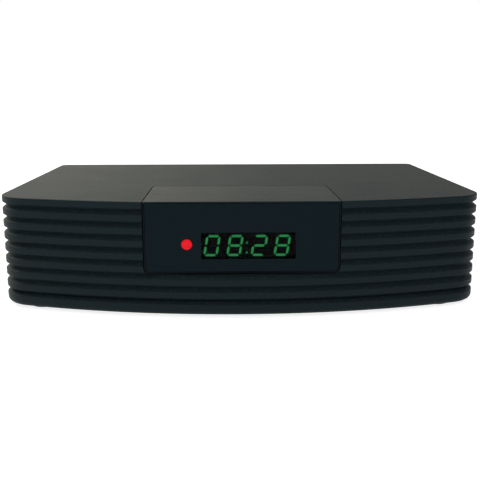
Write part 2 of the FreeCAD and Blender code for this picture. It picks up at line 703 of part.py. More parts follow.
def bottom_case(outside):
    """Floor and low wall with the joint tongue, screw bosses and standoffs."""
    lower = block(-SIDE_X - PAST, SIDE_X + PAST, FRONT_Y - PAST, BACK_Y + PAST, BASE_Z - PAST, SPLIT_Z)
    body = outside.common(lower)
    body = body.cut(plan_slab(BASE_INSET, REAR_LIP, FLOOR_Z, SPLIT_Z + PAST))
    tongue = plan_slab(TONGUE_INSET, REAR_LIP, SPLIT_Z, SPLIT_Z + TONGUE_HEIGHT)
    tongue = tongue.cut(plan_slab(BASE_INSET, 0, SPLIT_Z - PAST, SPLIT_Z + TONGUE_HEIGHT + PAST))
    stop = BACK_Y - TONGUE_BACK_STOP
    tongue = tongue.cut(block(-SIDE_X, SIDE_X, stop, BACK_Y, SPLIT_Z - PAST, DECK_Z))
    added = [tongue]
    for x, y in post_places():
        added.append(rod(BOSS_R, x, y, BASE_Z, BASE_BAND))
    for x, y in board_places():
        added.append(rod(STANDOFF_R, x, y, FLOOR_Z, BOARD_STAND))
    rib_y = PANEL_IN_Y - REAR_SLOT_GAP
    added.append(block(-BOARD_X, BOARD_X, rib_y - REAR_RIB_THICK, rib_y, FLOOR_Z, FLOOR_Z + REAR_RIB_HEIGHT))
    body = body.fuse(added)
    slot_x = SIDE_X - COVER_INSET
    cuts = [block(-slot_x, slot_x, rib_y, PANEL_OUT_Y, FLOOR_Z, SPLIT_Z + PAST)]
    for x, y in post_places():
        cuts.append(rod(SCREW_CLEAR_R, x, y, BASE_Z - PAST, BASE_BAND + 2 * PAST))
        cuts.append(rod(COUNTERBORE_R, x, y, BASE_Z - PAST, COUNTERBORE_DEPTH + PAST))
    for x, y in board_places():
        top = FLOOR_Z + BOARD_STAND
        cuts.append(rod(STANDOFF_BORE_R, x, y, top - STANDOFF_BORE_DEPTH, STANDOFF_BORE_DEPTH + PAST))
    return body.cut(cuts + base_vents()).removeSplitter()


def display_boss_places():
    """Middle of each of the display board's two screws, across and up."""
    reach = DISPLAY_BOARD_WIDTH / 2 - DISPLAY_BOSS_INSET
    middle = DISPLAY_BOARD_Z + DISPLAY_BOARD_HEIGHT / 2
    return [(DISPLAY_BOARD_X + sign * reach, middle) for sign in (-1, 1)]


def display_hood():
    """Hood: flat top, shallow box behind the flat face, pocket for the glossy panel."""
    top = rounded(
        block(-HOOD_HALF, HOOD_HALF, HOOD_FRONT_Y, HOOD_BACK_Y, DECK_UNDER_Z, DECK_Z),
        HOOD_BACK_R,
        lambda edge: runs_along(edge, Z_AXIS) and edge.CenterOfMass.y > HOOD_BOX_Y,
    )
    face = rounded(
        block(-HOOD_HALF, HOOD_HALF, HOOD_FRONT_Y, HOOD_BOX_Y, HOOD_BOTTOM_Z, DECK_Z),
        HOOD_BOTTOM_R,
        lambda edge: runs_along(edge, Y_AXIS) and edge.CenterOfMass.z < WINDOW_Z,
    )
    inner = HOOD_HALF - HOOD_SKIN
    low = HOOD_BOTTOM_Z + HOOD_SKIN
    face = face.cut(block(-inner, inner, WEB_BACK_Y, HOOD_BOX_Y + PAST, low, DECK_UNDER_Z))
    body = top.fuse(face).removeSplitter()
    body = rounded(
        body,
        HOOD_EDGE_R,
        lambda edge: runs_along(edge, X_AXIS)
        and edge.CenterOfMass.z > DECK_Z - TINY
        and edge.CenterOfMass.y < HOOD_FRONT_Y + TINY,
    )
    added = []
    for x in (-HOOD_BOSS_X, HOOD_BOSS_X):
        added.append(rod(HOOD_BOSS_R, x, HOOD_BOSS_Y, DECK_UNDER_Z - EAR_THICK, EAR_THICK))
    for x, z in display_boss_places():
        added.append(rod(DISPLAY_BOSS_R, x, WEB_BACK_Y, z, DISPLAY_BOARD_Y - WEB_BACK_Y, Y_AXIS))
    hook_y = bow_inner_y(HOOK_X + HOOK_WIDTH / 2, COVER_INSET) + HOOK_GAP
    for x in (-HOOK_X, HOOK_X):
        foot = HOOD_BOTTOM_Z - HOOK_REACH
        added.append(wide_block(x, HOOK_WIDTH, hook_y, hook_y + HOOK_THICK, foot, low))
    body = body.fuse(added)
    edge = HOOD_HALF - PANEL_RIM
    pocket = rounded(
        block(-edge, edge, HOOD_FRONT_Y - PAST, PANEL_BACK_Y, HOOD_BOTTOM_Z + PANEL_RIM, DECK_Z - PANEL_RIM),
        HOOD_BOTTOM_R - PANEL_RIM,
        lambda edge: runs_along(edge, Y_AXIS) and edge.CenterOfMass.z < WINDOW_Z,
    )
    flange = FILTER_FLANGE + FILTER_GAP
    window = wide_block(
        WINDOW_X,
        WINDOW_WIDTH + 2 * flange,
        PANEL_BACK_Y - PAST,
        WEB_BACK_Y + PAST,
        WINDOW_Z - WINDOW_HEIGHT / 2 - flange,
        WINDOW_Z + WINDOW_HEIGHT / 2 + flange,
    )
    through = HOOD_WEB + 2 * PAST
    web_y = PANEL_BACK_Y - PAST
    lamp = rod(LAMP_R + LAMP_FLANGE + LAMP_GAP, LAMP_X, web_y, LAMP_Z, through, Y_AXIS)
    eye = rod(RECEIVER_LENS_R + RECEIVER_EYE_GAP, RECEIVER_X, web_y, WINDOW_Z, through, Y_AXIS)
    cuts = [pocket, window, lamp, eye]
    for x in (-HOOD_BOSS_X, HOOD_BOSS_X):
        depth = EAR_THICK + DECK_THICK - HOOD_BORE_TOP
        cuts.append(rod(HOOD_BORE_R, x, HOOD_BOSS_Y, DECK_UNDER_Z - EAR_THICK - PAST, depth + PAST))
    for x, z in display_boss_places():
        depth = DISPLAY_SCREW_REACH + DISPLAY_SCREW_END_GAP
        cuts.append(rod(DISPLAY_BORE_R, x, DISPLAY_BOARD_Y - depth, z, depth + PAST, Y_AXIS))
    return body.cut(cuts).removeSplitter()


def front_panel():
    """Glossy panel in the hood's pocket, with the display window and the lamp hole."""
    edge = HOOD_HALF - PANEL_RIM - PANEL_GAP
    low = HOOD_BOTTOM_Z + PANEL_RIM + PANEL_GAP
    high = DECK_Z - PANEL_RIM - PANEL_GAP
    plate = rounded(
        block(-edge, edge, HOOD_FRONT_Y, PANEL_BACK_Y, low, high),
        HOOD_BOTTOM_R - PANEL_RIM - PANEL_GAP,
        lambda edge: runs_along(edge, Y_AXIS) and edge.CenterOfMass.z < WINDOW_Z,
    )
    window = wide_block(
        WINDOW_X,
        WINDOW_WIDTH,
        HOOD_FRONT_Y - PAST,
        PANEL_BACK_Y + PAST,
        WINDOW_TOP_Z - WINDOW_HEIGHT,
        WINDOW_TOP_Z,
    )
    lamp = rod(LAMP_R + LAMP_GAP, LAMP_X, HOOD_FRONT_Y - PAST, LAMP_Z, PANEL_THICK + 2 * PAST, Y_AXIS)
    return plate.cut([window, lamp])


def display_filter():
    """Dark window: an insert level with the panel and a flange behind it."""
    bottom = WINDOW_TOP_Z - WINDOW_HEIGHT
    insert = wide_block(
        WINDOW_X,
        WINDOW_WIDTH - 2 * FILTER_GAP,
        HOOD_FRONT_Y,
        PANEL_BACK_Y,
        bottom + FILTER_GAP,
        WINDOW_TOP_Z - FILTER_GAP,
    )
    flange = wide_block(
        WINDOW_X,
        WINDOW_WIDTH + 2 * FILTER_FLANGE,
        PANEL_BACK_Y,
        PANEL_BACK_Y + FILTER_FLANGE_THICK,
        bottom - FILTER_FLANGE,
        WINDOW_TOP_Z + FILTER_FLANGE,
    )
    return insert.fuse(flange).removeSplitter()


def standby_lamp():
    """Round light pipe, a little proud of the panel, with a flange behind it."""
    front = HOOD_FRONT_Y - LAMP_PROUD
    pipe = rod(LAMP_R, LAMP_X, front, LAMP_Z, LAMP_LENGTH + LAMP_PROUD, Y_AXIS)
    flange = rod(LAMP_R + LAMP_FLANGE, LAMP_X, PANEL_BACK_Y, LAMP_Z, FILTER_FLANGE_THICK, Y_AXIS)
    return pipe.fuse(flange)


# Display


def display_module():
    """Block behind the window that carries the digits."""
    return wide_block(
        WINDOW_X,
        MODULE_WIDTH,
        MODULE_FRONT_Y,
        DISPLAY_BOARD_Y,
        WINDOW_Z - MODULE_HEIGHT / 2,
        WINDOW_Z + MODULE_HEIGHT / 2,
    )


def digit_left(index):
    """Foot of a digit's left side, with the colon's extra room after the second."""
    room = COLON_EXTRA if index >= HOUR_DIGITS else 0
    return WINDOW_X - WINDOW_WIDTH / 2 + DIGIT_LEFT + index * DIGIT_PITCH + room


def slanted(left, across, up):
    """Point of the display face: across and up from a digit's foot, leaning with the slant."""
    lean = up * math.tan(math.radians(SLANT_DEG))
    return Vec(left + across + lean, MODULE_FRONT_Y, WINDOW_Z - DIGIT_HEIGHT / 2 + up)


def segment(left, x0, z0, x1, z1):
    """Six-sided bar between two points of a digit's centre lines, short of both by the gap."""
    half = STROKE / 2
    length = math.hypot(x1 - x0, z1 - z0)
    along = ((x1 - x0) / length, (z1 - z0) / length)
    aside = (-along[1], along[0])
    points = []
    tip = SEGMENT_GAP
    for run, off in (
        (tip, 0),
        (tip + half, half),
        (length - tip - half, half),
        (length - tip, 0),
        (length - tip - half, -half),
        (tip + half, -half),
    ):
        across = x0 + along[0] * run + aside[0] * off
        up = z0 + along[1] * run + aside[1] * off
        points.append(slanted(left, across, up))
    return prism(points, Y_AXIS * -SEGMENT_THICK)


def digit_segments(left):
    """The seven bars of a digit by their usual letters."""
    x0 = STROKE / 2
    x1 = DIGIT_WIDTH - STROKE / 2
    z0 = STROKE / 2
    z2 = DIGIT_HEIGHT - STROKE / 2
    z1 = DIGIT_HEIGHT / 2
    ends = {
        "a": (x0, z2, x1, z2),
        "b": (x1, z1, x1, z2),
        "c": (x1, z0, x1, z1),
        "d": (x0, z0, x1, z0),
        "e": (x0, z0, x0, z1),
        "f": (x0, z1, x0, z2),
        "g": (x0, z1, x1, z1),
    }
    return {name: segment(left, *end) for name, end in ends.items()}


def colon_dots():
    """The two dots between the hours and the minutes."""
    before, after = digit_left(HOUR_DIGITS - 1), digit_left(HOUR_DIGITS)
    left = (before + DIGIT_WIDTH + after - COLON_DOT) / 2
    dots = []
    for sign in (-1, 1):
        up = DIGIT_HEIGHT / 2 - COLON_DROP + sign * COLON_SPREAD / 2
        corners = ((0, up - COLON_DOT / 2), (COLON_DOT, up - COLON_DOT / 2))
        corners += ((COLON_DOT, up + COLON_DOT / 2), (0, up + COLON_DOT / 2))
        dots.append(prism([slanted(left, *corner) for corner in corners], Y_AXIS * -SEGMENT_THICK))
    return dots


def segment_nodes():
    """Lit bars with the colon, and the bars that stay dark."""
    lit = colon_dots()
    dark = []
    for index, figure in enumerate(READOUT):
        for name, bar in digit_segments(digit_left(index)).items():
            (lit if name in SEGMENTS_OF[figure] else dark).append(bar)
    return Part.makeCompound(lit), Part.makeCompound(dark)


def display_board():
    """Upright board behind the display."""
    plate = wide_block(
        DISPLAY_BOARD_X,
        DISPLAY_BOARD_WIDTH,
        DISPLAY_BOARD_Y,
        DISPLAY_BOARD_BACK_Y,
        DISPLAY_BOARD_Z,
        DISPLAY_BOARD_Z + DISPLAY_BOARD_HEIGHT,
    )
    holes = [
        rod(DISPLAY_HOLE_R, x, DISPLAY_BOARD_Y - PAST, z, BOARD_THICK + 2 * PAST, Y_AXIS)
        for x, z in display_boss_places()
    ]
    return plate.cut(holes)


def ir_receiver():
    """Remote-control receiver: a small block with a round lens in front."""
    body = wide_block(
        RECEIVER_X,
        RECEIVER_WIDTH,
        DISPLAY_BOARD_Y - RECEIVER_DEPTH,
        DISPLAY_BOARD_Y,
        WINDOW_Z - RECEIVER_HEIGHT / 2,
        WINDOW_Z + RECEIVER_HEIGHT / 2,
    )
    front = DISPLAY_BOARD_Y - RECEIVER_DEPTH - RECEIVER_LENS
    return body.fuse(rod(RECEIVER_LENS_R, RECEIVER_X, front, WINDOW_Z, RECEIVER_LENS, Y_AXIS))


def standby_led():
    """Light source behind the lamp: a round body with a wider collar at the board."""
    start = HOOD_FRONT_Y + LAMP_LENGTH + LED_GAP
    body = rod(LED_R, LAMP_X, start, LAMP_Z, DISPLAY_BOARD_Y - start, Y_AXIS)
    collar = rod(LED_COLLAR_R, LAMP_X, DISPLAY_BOARD_Y - LED_COLLAR, LAMP_Z, LED_COLLAR, Y_AXIS)
    return body.fuse(collar)


# Main board and what stands on it


def main_board():
    """Main board with its four screw holes."""
    low = BOARD_Z - BOARD_THICK
    plate = block(-BOARD_X, BOARD_X, BOARD_FRONT_Y, BOARD_BACK_Y, low, BOARD_Z)
    holes = [rod(BOARD_HOLE_R, x, y, low - PAST, BOARD_THICK + 2 * PAST) for x, y in board_places()]
    return plate.cut(holes)


def on_board(at, size):
    """Box that stands on the main board, centred on a place."""
    x, behind = at
    width, depth, height = size
    y = FRONT_Y + behind
    return wide_block(x, width, y - depth / 2, y + depth / 2, BOARD_Z, BOARD_Z + height)


def heat_sink():
    """Finned block on the main chip."""
    x, behind = CHIP_AT
    y = FRONT_Y + behind
    low = BOARD_Z + CHIP_THICK + PAD_THICK
    half = SINK_SIDE / 2
    body = block(x - half, x + half, y - half, y + half, low, low + SINK_HEIGHT)
    gap = (SINK_SIDE - SINK_FINS * SINK_FIN_THICK) / (SINK_FINS - 1)
    cuts = []
    for index in range(SINK_FINS - 1):
        start = x - half + SINK_FIN_THICK + index * (gap + SINK_FIN_THICK)
        top = low + SINK_HEIGHT + PAST
        cuts.append(block(start, start + gap, y - half - PAST, y + half + PAST, low + SINK_BASE, top))
    return body.cut(cuts)


def thermal_pad():
    """Soft pad between the chip and the heat sink."""
    x, behind = CHIP_AT
    y = FRONT_Y + behind
    low = BOARD_Z + CHIP_THICK
    return wide_block(x, PAD_SIDE, y - PAD_SIDE / 2, y + PAD_SIDE / 2, low, low + PAD_THICK)


def capacitor(share, behind):
    """Upright can."""
    return rod(CAPACITOR_R, share * SIDE_X, FRONT_Y + behind, BOARD_Z, CAPACITOR_HEIGHT)


def crystal():
    """Metal can with round ends."""
    x, behind = CRYSTAL_AT
    length, width, height = CRYSTAL_SIZE
    return slot(width, length, x, FRONT_Y + behind, BOARD_Z, BOARD_Z + height, X_AXIS)


def cable_headers():
    """Ribbon headers: one on the main board, one on the back of the display board."""
    y = BOARD_FRONT_Y + HEADER_SET_BACK
    main = wide_block(DISPLAY_BOARD_X, HEADER_WIDTH, y, y + HEADER_DEPTH, BOARD_Z, BOARD_Z + HEADER_HEIGHT)
    z = DISPLAY_BOARD_Z + DISPLAY_HEADER_RISE
    rear = DISPLAY_BOARD_BACK_Y + HEADER_DEPTH
    half = HEADER_HEIGHT / 2
    display = wide_block(DISPLAY_BOARD_X, HEADER_WIDTH, DISPLAY_BOARD_BACK_Y, rear, z - half, z + half)
    return Part.makeCompound([main, display])


def ribbon_cable():
    """Flat ribbon that leaves the display board's header, drops, and runs back to the main board's.

    Its side view is a closed outline of two runs, a drop and two quarter bends, with both faces.
    """
    y0 = DISPLAY_BOARD_BACK_Y + HEADER_DEPTH
    y1 = BOARD_FRONT_Y + HEADER_SET_BACK
    z0 = DISPLAY_BOARD_Z + DISPLAY_HEADER_RISE
    z1 = BOARD_Z + HEADER_HEIGHT / 2
    bend = RIBBON_BEND_SHARE * (z0 - z1)
    turn_y = y0 + RIBBON_STRAIGHT
    drop_y = turn_y + bend
    lean = math.sqrt(0.5)

    def face(offset):
        """Edges of one face of the ribbon, from the upper header to the lower one."""
        upper = bend + offset
        lower = bend - offset
        points = [
            (y0, z0 + offset),
            (turn_y, z0 + offset),
            (turn_y + upper * lean, z0 - bend + upper * lean),
            (drop_y + offset, z0 - bend),
            (drop_y + offset, z1 + bend),
            (drop_y + bend - lower * lean, z1 + bend - lower * lean),
            (drop_y + bend, z1 + offset),
            (y1, z1 + offset),
        ]
        places = [Vec(0, y, z) for y, z in points]
        edges = [
            Part.LineSegment(places[0], places[1]).toShape(),
            Part.Arc(places[1], places[2], places[3]).toShape(),
            Part.LineSegment(places[3], places[4]).toShape(),
            Part.Arc(places[4], places[5], places[6]).toShape(),
            Part.LineSegment(places[6], places[7]).toShape(),
        ]
        return places, edges

    half = RIBBON_THICK / 2
    top, top_edges = face(half)
    low, low_edges = face(-half)
    ends = [Part.LineSegment(top[0], low[0]).toShape(), Part.LineSegment(top[-1], low[-1]).toShape()]
    side = Part.Face(Part.Wire(Part.__sortEdges__(top_edges + low_edges + ends)))
    side.translate(X_AXIS * (DISPLAY_BOARD_X - RIBBON_WIDTH / 2))
    return side.extrude(X_AXIS * RIBBON_WIDTH)


# Rear of the set


def tuner_can():
    """Open metal frame round the tuner circuits."""
    half = TUNER_WIDTH / 2
    front = BOARD_BACK_Y - TUNER_DEPTH
    top = BOARD_Z + TUNER_HEIGHT
    frame = block(TUNER_X - half, TUNER_X + half, front, BOARD_BACK_Y, BOARD_Z, top)
    room = block(
        TUNER_X - half + TUNER_WALL,
        TUNER_X + half - TUNER_WALL,
        front + TUNER_WALL,
        BOARD_BACK_Y - TUNER_WALL,
        BOARD_Z - PAST,
        top + PAST,
    )
    wall = block(TUNER_X - TUNER_WALL / 2, TUNER_X + TUNER_WALL / 2, front, BOARD_BACK_Y, BOARD_Z, top)
    return frame.cut(room).fuse(wall).removeSplitter()


def tuner_lid():
    """Lid with a flange down the front and both sides of the frame, open towards the sockets."""
    half = TUNER_WIDTH / 2 + LID_GAP
    front = BOARD_BACK_Y - TUNER_DEPTH - LID_GAP
    top = BOARD_Z + TUNER_HEIGHT
    cap = block(
        TUNER_X - half - LID_THICK,
        TUNER_X + half + LID_THICK,
        front - LID_THICK,
        BOARD_BACK_Y,
        top - LID_FLANGE,
        top + LID_THICK,
    )
    room = block(TUNER_X - half, TUNER_X + half, front, BOARD_BACK_Y + PAST, top - LID_FLANGE - PAST, top)
    return cap.cut(room)


def lnb_socket(x):
    """Aerial socket: a collar against the panel and a long round barrel through it."""
    collar_end = PANEL_IN_Y - SOCKET_COLLAR_GAP
    collar = rod(SOCKET_COLLAR_R, x, BOARD_BACK_Y, SOCKET_Z, collar_end - BOARD_BACK_Y, Y_AXIS)
    barrel = rod(SOCKET_R, x, BOARD_BACK_Y, SOCKET_Z, SOCKET_END_Y - BOARD_BACK_Y, Y_AXIS)
    length = SOCKET_END_Y - BOARD_BACK_Y
    bore = rod(SOCKET_BORE_R, x, BOARD_BACK_Y - PAST, SOCKET_Z, length + 2 * PAST, Y_AXIS)
    relief = rod(SOCKET_R + PAST, x, NUT_END_Y, SOCKET_Z, SOCKET_RELIEF, Y_AXIS)
    relief = relief.cut(rod(SOCKET_R - SOCKET_RELIEF_DEEP, x, NUT_END_Y, SOCKET_Z, SOCKET_RELIEF, Y_AXIS))
    return barrel.fuse(collar).cut([bore, relief])


def lnb_insulator(x):
    """Plastic core of an aerial socket, with the hole for the cable's centre wire."""
    end = SOCKET_END_Y - INSULATOR_RECESS
    core = rod(SOCKET_BORE_R, x, BOARD_BACK_Y, SOCKET_Z, end - BOARD_BACK_Y, Y_AXIS)
    hole = rod(CONTACT_HOLE_R, x, end - CONTACT_HOLE_DEPTH, SOCKET_Z, CONTACT_HOLE_DEPTH + PAST, Y_AXIS)
    return core.cut(hole)


def lnb_nut(x):
    """Hexagon nut that clamps an aerial socket to the panel."""
    radius = NUT_FLATS / 2 / math.cos(math.pi / 6)
    corners = []
    for index in range(6):
        angle = index * math.pi / 3
        corners.append(Vec(x + radius * math.cos(angle), PANEL_OUT_Y, SOCKET_Z + radius * math.sin(angle)))
    hole = rod(SOCKET_R + NUT_GAP, x, PANEL_OUT_Y - PAST, SOCKET_Z, NUT_THICK + 2 * PAST, Y_AXIS)
    return prism(corners, Y_AXIS * NUT_THICK).cut(hole)


def video_outline(shrink):
    """Corner points of the video socket's section, drawn in by a wall."""
    half = VIDEO_WIDTH / 2 - shrink
    foot = VIDEO_FOOT_WIDTH / 2 - shrink * VIDEO_FOOT_SHRINK
    low = BOARD_Z + shrink
    shoulder = BOARD_Z + VIDEO_SHOULDER + shrink * VIDEO_SHOULDER_SHRINK
    high = BOARD_Z + VIDEO_HEIGHT - shrink
    return [
        (VIDEO_X - foot, low),
        (VIDEO_X + foot, low),
        (VIDEO_X + half, shoulder),
        (VIDEO_X + half, high),
        (VIDEO_X - half, high),
        (VIDEO_X - half, shoulder),
    ]


def hdmi_shell():
    """Sheet-metal sleeve with sloping lower corners and a closed back."""
    back = MOUTH_Y - VIDEO_DEPTH
    outer = prism([Vec(x, back, z) for x, z in video_outline(0)], Y_AXIS * VIDEO_DEPTH)
    inside = [Vec(x, back + SHELL_THICK, z) for x, z in video_outline(SHELL_THICK)]
    room = prism(inside, Y_AXIS * VIDEO_DEPTH)
    return outer.cut(room)


def hdmi_tongue():
    """Contact tongue of the video socket."""
    start = MOUTH_Y - VIDEO_DEPTH + SHELL_THICK
    low = BOARD_Z + VIDEO_TONGUE_RISE
    end = start + VIDEO_TONGUE_LENGTH
    return wide_block(VIDEO_X, VIDEO_TONGUE_WIDTH, start, end, low, low + VIDEO_TONGUE_THICK)


def usb_shell():
    """Sheet-metal sleeve of the data socket."""
    back = MOUTH_Y - DATA_DEPTH
    outer = wide_block(DATA_X, DATA_WIDTH, back, MOUTH_Y, BOARD_Z, BOARD_Z + DATA_HEIGHT)
    room = wide_block(
        DATA_X,
        DATA_WIDTH - 2 * SHELL_THICK,
        back + SHELL_THICK,
        MOUTH_Y + PAST,
        BOARD_Z + SHELL_THICK,
        BOARD_Z + DATA_HEIGHT - SHELL_THICK,
    )
    return outer.cut(room)


def usb_tongue():
    """Contact tongue of the data socket."""
    start = MOUTH_Y - DATA_DEPTH + SHELL_THICK
    low = BOARD_Z + DATA_TONGUE_RISE
    end = start + DATA_TONGUE_LENGTH
    return wide_block(DATA_X, DATA_TONGUE_WIDTH, start, end, low, low + DATA_TONGUE_THICK)


def ethernet_jack():
    """Network socket: stepped mouth with the latch slot below."""
    back = MOUTH_Y - NETWORK_DEPTH
    body = wide_block(NETWORK_X, NETWORK_WIDTH, back, MOUTH_Y, BOARD_Z, BOARD_Z + NETWORK_HEIGHT)
    low = BOARD_Z + NETWORK_MOUTH_RISE
    inner = MOUTH_Y - NETWORK_MOUTH_DEPTH
    outer = MOUTH_Y + PAST
    mouth = wide_block(NETWORK_X, NETWORK_MOUTH_WIDTH, inner, outer, low, low + NETWORK_MOUTH_HEIGHT)
    latch = wide_block(NETWORK_X, NETWORK_LATCH_WIDTH, inner, outer, low - NETWORK_LATCH_DROP, low + PAST)
    return body.cut([mouth, latch])


def ethernet_contacts():
    """Row of contact springs that slope down from the mouth's ceiling."""
    ceiling = BOARD_Z + NETWORK_MOUTH_RISE + NETWORK_MOUTH_HEIGHT
    start = MOUTH_Y - NETWORK_MOUTH_DEPTH
    springs = []
    for index in range(NETWORK_PINS):
        x = NETWORK_X + (index - (NETWORK_PINS - 1) / 2) * NETWORK_PIN_PITCH - NETWORK_PIN_THICK / 2
        outline = [
            Vec(x, start, ceiling - NETWORK_PIN_LOW),
            Vec(x, start + NETWORK_PIN_THICK, ceiling - NETWORK_PIN_LOW),
            Vec(x, start + NETWORK_PIN_LENGTH, ceiling - NETWORK_PIN_THICK),
            Vec(x, start + NETWORK_PIN_LENGTH, ceiling),
            Vec(x, start + NETWORK_PIN_LENGTH - NETWORK_PIN_ROOT, ceiling),
            Vec(x, start, ceiling - NETWORK_PIN_LOW + NETWORK_PIN_THICK),
        ]
        springs.append(prism(outline, X_AXIS * NETWORK_PIN_THICK))
    return Part.makeCompound(springs)


def av_jack():
    """Sound socket: a block with a round nose through the panel and a blind bore."""
    front = PANEL_IN_Y - REAR_HOLE_GAP
    back = front - SOUND_DEPTH
    axis_z = BOARD_Z + SOUND_RISE
    body = wide_block(SOUND_X, SOUND_WIDTH, back, front, BOARD_Z, BOARD_Z + SOUND_HEIGHT)
    mouth = PANEL_OUT_Y + SOUND_PROUD
    nose = rod(SOUND_NOSE_R, SOUND_X, front, axis_z, mouth - front, Y_AXIS)
    bore = rod(SOUND_BORE_R, SOUND_X, mouth - SOUND_BORE_DEPTH, axis_z, SOUND_BORE_DEPTH + PAST, Y_AXIS)
    return body.fuse(nose).cut(bore).removeSplitter()


def optical_socket():
    """Optical sound socket: square cavity, light port at its end, holes for the shutter's pins."""
    back = MOUTH_Y - OPTICAL_DEPTH
    body = wide_block(OPTICAL_X, OPTICAL_WIDTH, back, MOUTH_Y, BOARD_Z, BOARD_Z + OPTICAL_HEIGHT)
    half = OPTICAL_CAVITY / 2
    inner = MOUTH_Y - OPTICAL_CAVITY_DEPTH
    cavity = wide_block(OPTICAL_X, OPTICAL_CAVITY, inner, MOUTH_Y + PAST, OPTICAL_Z - half, OPTICAL_Z + half)
    port_y = inner - OPTICAL_PORT_DEPTH
    port = rod(OPTICAL_PORT_R, OPTICAL_X, port_y, OPTICAL_Z, inner + PAST - port_y, Y_AXIS)
    reach = half + SHUTTER_PIN_REACH + SHUTTER_PIN_END_GAP
    pins = rod(SHUTTER_PIN_R + SHUTTER_PIN_GAP, OPTICAL_X - reach, SHUTTER_Y, SHUTTER_Z, 2 * reach, X_AXIS)
    return body.cut([cavity, port, pins])


def optical_shutter():
    """Flap that closes the optical socket, with a round hub and a pin at each end of it."""
    half = OPTICAL_CAVITY / 2
    width = OPTICAL_CAVITY - 2 * SHUTTER_SIDE_GAP
    foot = OPTICAL_Z - half + SHUTTER_FLOOR_GAP
    y0 = SHUTTER_Y - SHUTTER_THICK / 2
    flap = wide_block(OPTICAL_X, width, y0, y0 + SHUTTER_THICK, foot, SHUTTER_Z)
    hub = rod(SHUTTER_HUB_R, OPTICAL_X - width / 2, SHUTTER_Y, SHUTTER_Z, width, X_AXIS)
    reach = half + SHUTTER_PIN_REACH
    pin = rod(SHUTTER_PIN_R, OPTICAL_X - reach, SHUTTER_Y, SHUTTER_Z, 2 * reach, X_AXIS)
    return flap.fuse([hub, pin])


def dc_jack():
    """Power inlet: a block with a round well for the plug."""
    back = MOUTH_Y - POWER_DEPTH
    body = wide_block(POWER_X, POWER_WIDTH, back, MOUTH_Y, BOARD_Z, BOARD_Z + POWER_HEIGHT)
    well_y = MOUTH_Y - POWER_BORE_DEPTH
    well = rod(POWER_BORE_R, POWER_X, well_y, BOARD_Z + POWER_RISE, POWER_BORE_DEPTH + PAST, Y_AXIS)
    return body.cut(well)


def dc_pin():
    """Centre pin of the power inlet, its tip chamfered."""
    start = MOUTH_Y - POWER_BORE_DEPTH
    end = MOUTH_Y - POWER_PIN_SHORT
    pin = rod(POWER_PIN_R, POWER_X, start, BOARD_Z + POWER_RISE, end - start, Y_AXIS)
    return pin.makeChamfer(POWER_PIN_TIP, [edge for edge in pin.Edges if edge.BoundBox.YMin > end - TINY])


def power_switch_frame():
    """Switch body: bezel on the panel, block through it, well and trunnion holes for the rocker."""
    half = SWITCH_BEZEL_HEIGHT / 2
    bezel = wide_block(
        SWITCH_X, SWITCH_BEZEL_WIDTH, PANEL_OUT_Y, SWITCH_FACE_Y, SWITCH_Z - half, SWITCH_Z + half
    )
    bezel = bezel.makeChamfer(
        SWITCH_BEZEL_EDGE, [edge for edge in bezel.Edges if edge.BoundBox.YMin > SWITCH_FACE_Y - TINY]
    )
    tall = SWITCH_BODY_HEIGHT / 2
    low = SWITCH_Z - tall
    body = wide_block(SWITCH_X, SWITCH_BODY_WIDTH, SWITCH_BACK_Y, PANEL_OUT_Y, low, low + 2 * tall)
    well_y = SWITCH_PIVOT_Y - SWITCH_WELL_BELOW
    well = wide_block(
        SWITCH_X,
        SWITCH_WELL_WIDTH,
        well_y,
        SWITCH_FACE_Y + PAST,
        SWITCH_Z - SWITCH_WELL_HEIGHT / 2,
        SWITCH_Z + SWITCH_WELL_HEIGHT / 2,
    )
    hole = rod(TRUNNION_R + TRUNNION_GAP, SWITCH_X, SWITCH_PIVOT_Y, low - PAST, 2 * tall + 2 * PAST)
    return bezel.fuse(body).cut([well, hole]).removeSplitter()


def power_rocker():
    """Rocker: a slice of a drum with a shallow ridge across its face, tilted to its rest side."""
    half_h = SWITCH_WELL_HEIGHT / 2 - ROCKER_GAP
    low = SWITCH_Z - half_h
    drum = rod(ROCKER_R, SWITCH_X, SWITCH_PIVOT_Y, low, 2 * half_h)
    edge_y = SWITCH_PIVOT_Y + ROCKER_EDGE_RISE
    ridge = [
        Vec(SWITCH_X - ROCKER_R - PAST, SWITCH_PIVOT_Y - ROCKER_SKIRT, low),
        Vec(SWITCH_X + ROCKER_R + PAST, SWITCH_PIVOT_Y - ROCKER_SKIRT, low),
        Vec(SWITCH_X + ROCKER_R + PAST, edge_y, low),
        Vec(SWITCH_X, SWITCH_PIVOT_Y + ROCKER_MID_RISE, low),
        Vec(SWITCH_X - ROCKER_R - PAST, edge_y, low),
    ]
    body = drum.common(prism(ridge, Z_AXIS * (2 * half_h)))
    reach = SWITCH_WELL_HEIGHT / 2 + TRUNNION_REACH
    trunnions = rod(TRUNNION_R, SWITCH_X, SWITCH_PIVOT_Y, SWITCH_Z - reach, 2 * reach)
    body = body.fuse(trunnions).removeSplitter()
    body.rotate(Vec(SWITCH_X, SWITCH_PIVOT_Y, SWITCH_Z), Z_AXIS, -ROCKER_TILT)
    return body


def switch_blades():
    """The two flat terminals at the back of the switch."""
    low = SWITCH_Z - BLADE_HEIGHT / 2
    blades = []
    for sign in (-1, 1):
        x = SWITCH_X + sign * BLADE_X
        start = SWITCH_BACK_Y - BLADE_LENGTH
        blades.append(wide_block(x, BLADE_WIDTH, start, SWITCH_BACK_Y, low, low + BLADE_HEIGHT))
    return Part.makeCompound(blades)


def lead_places():
    """Across and along place of each lead's drop to its header."""
    return SWITCH_BACK_Y - BLADE_LENGTH, SWITCH_BACK_Y - BLADE_LENGTH - LEAD_BEND_R


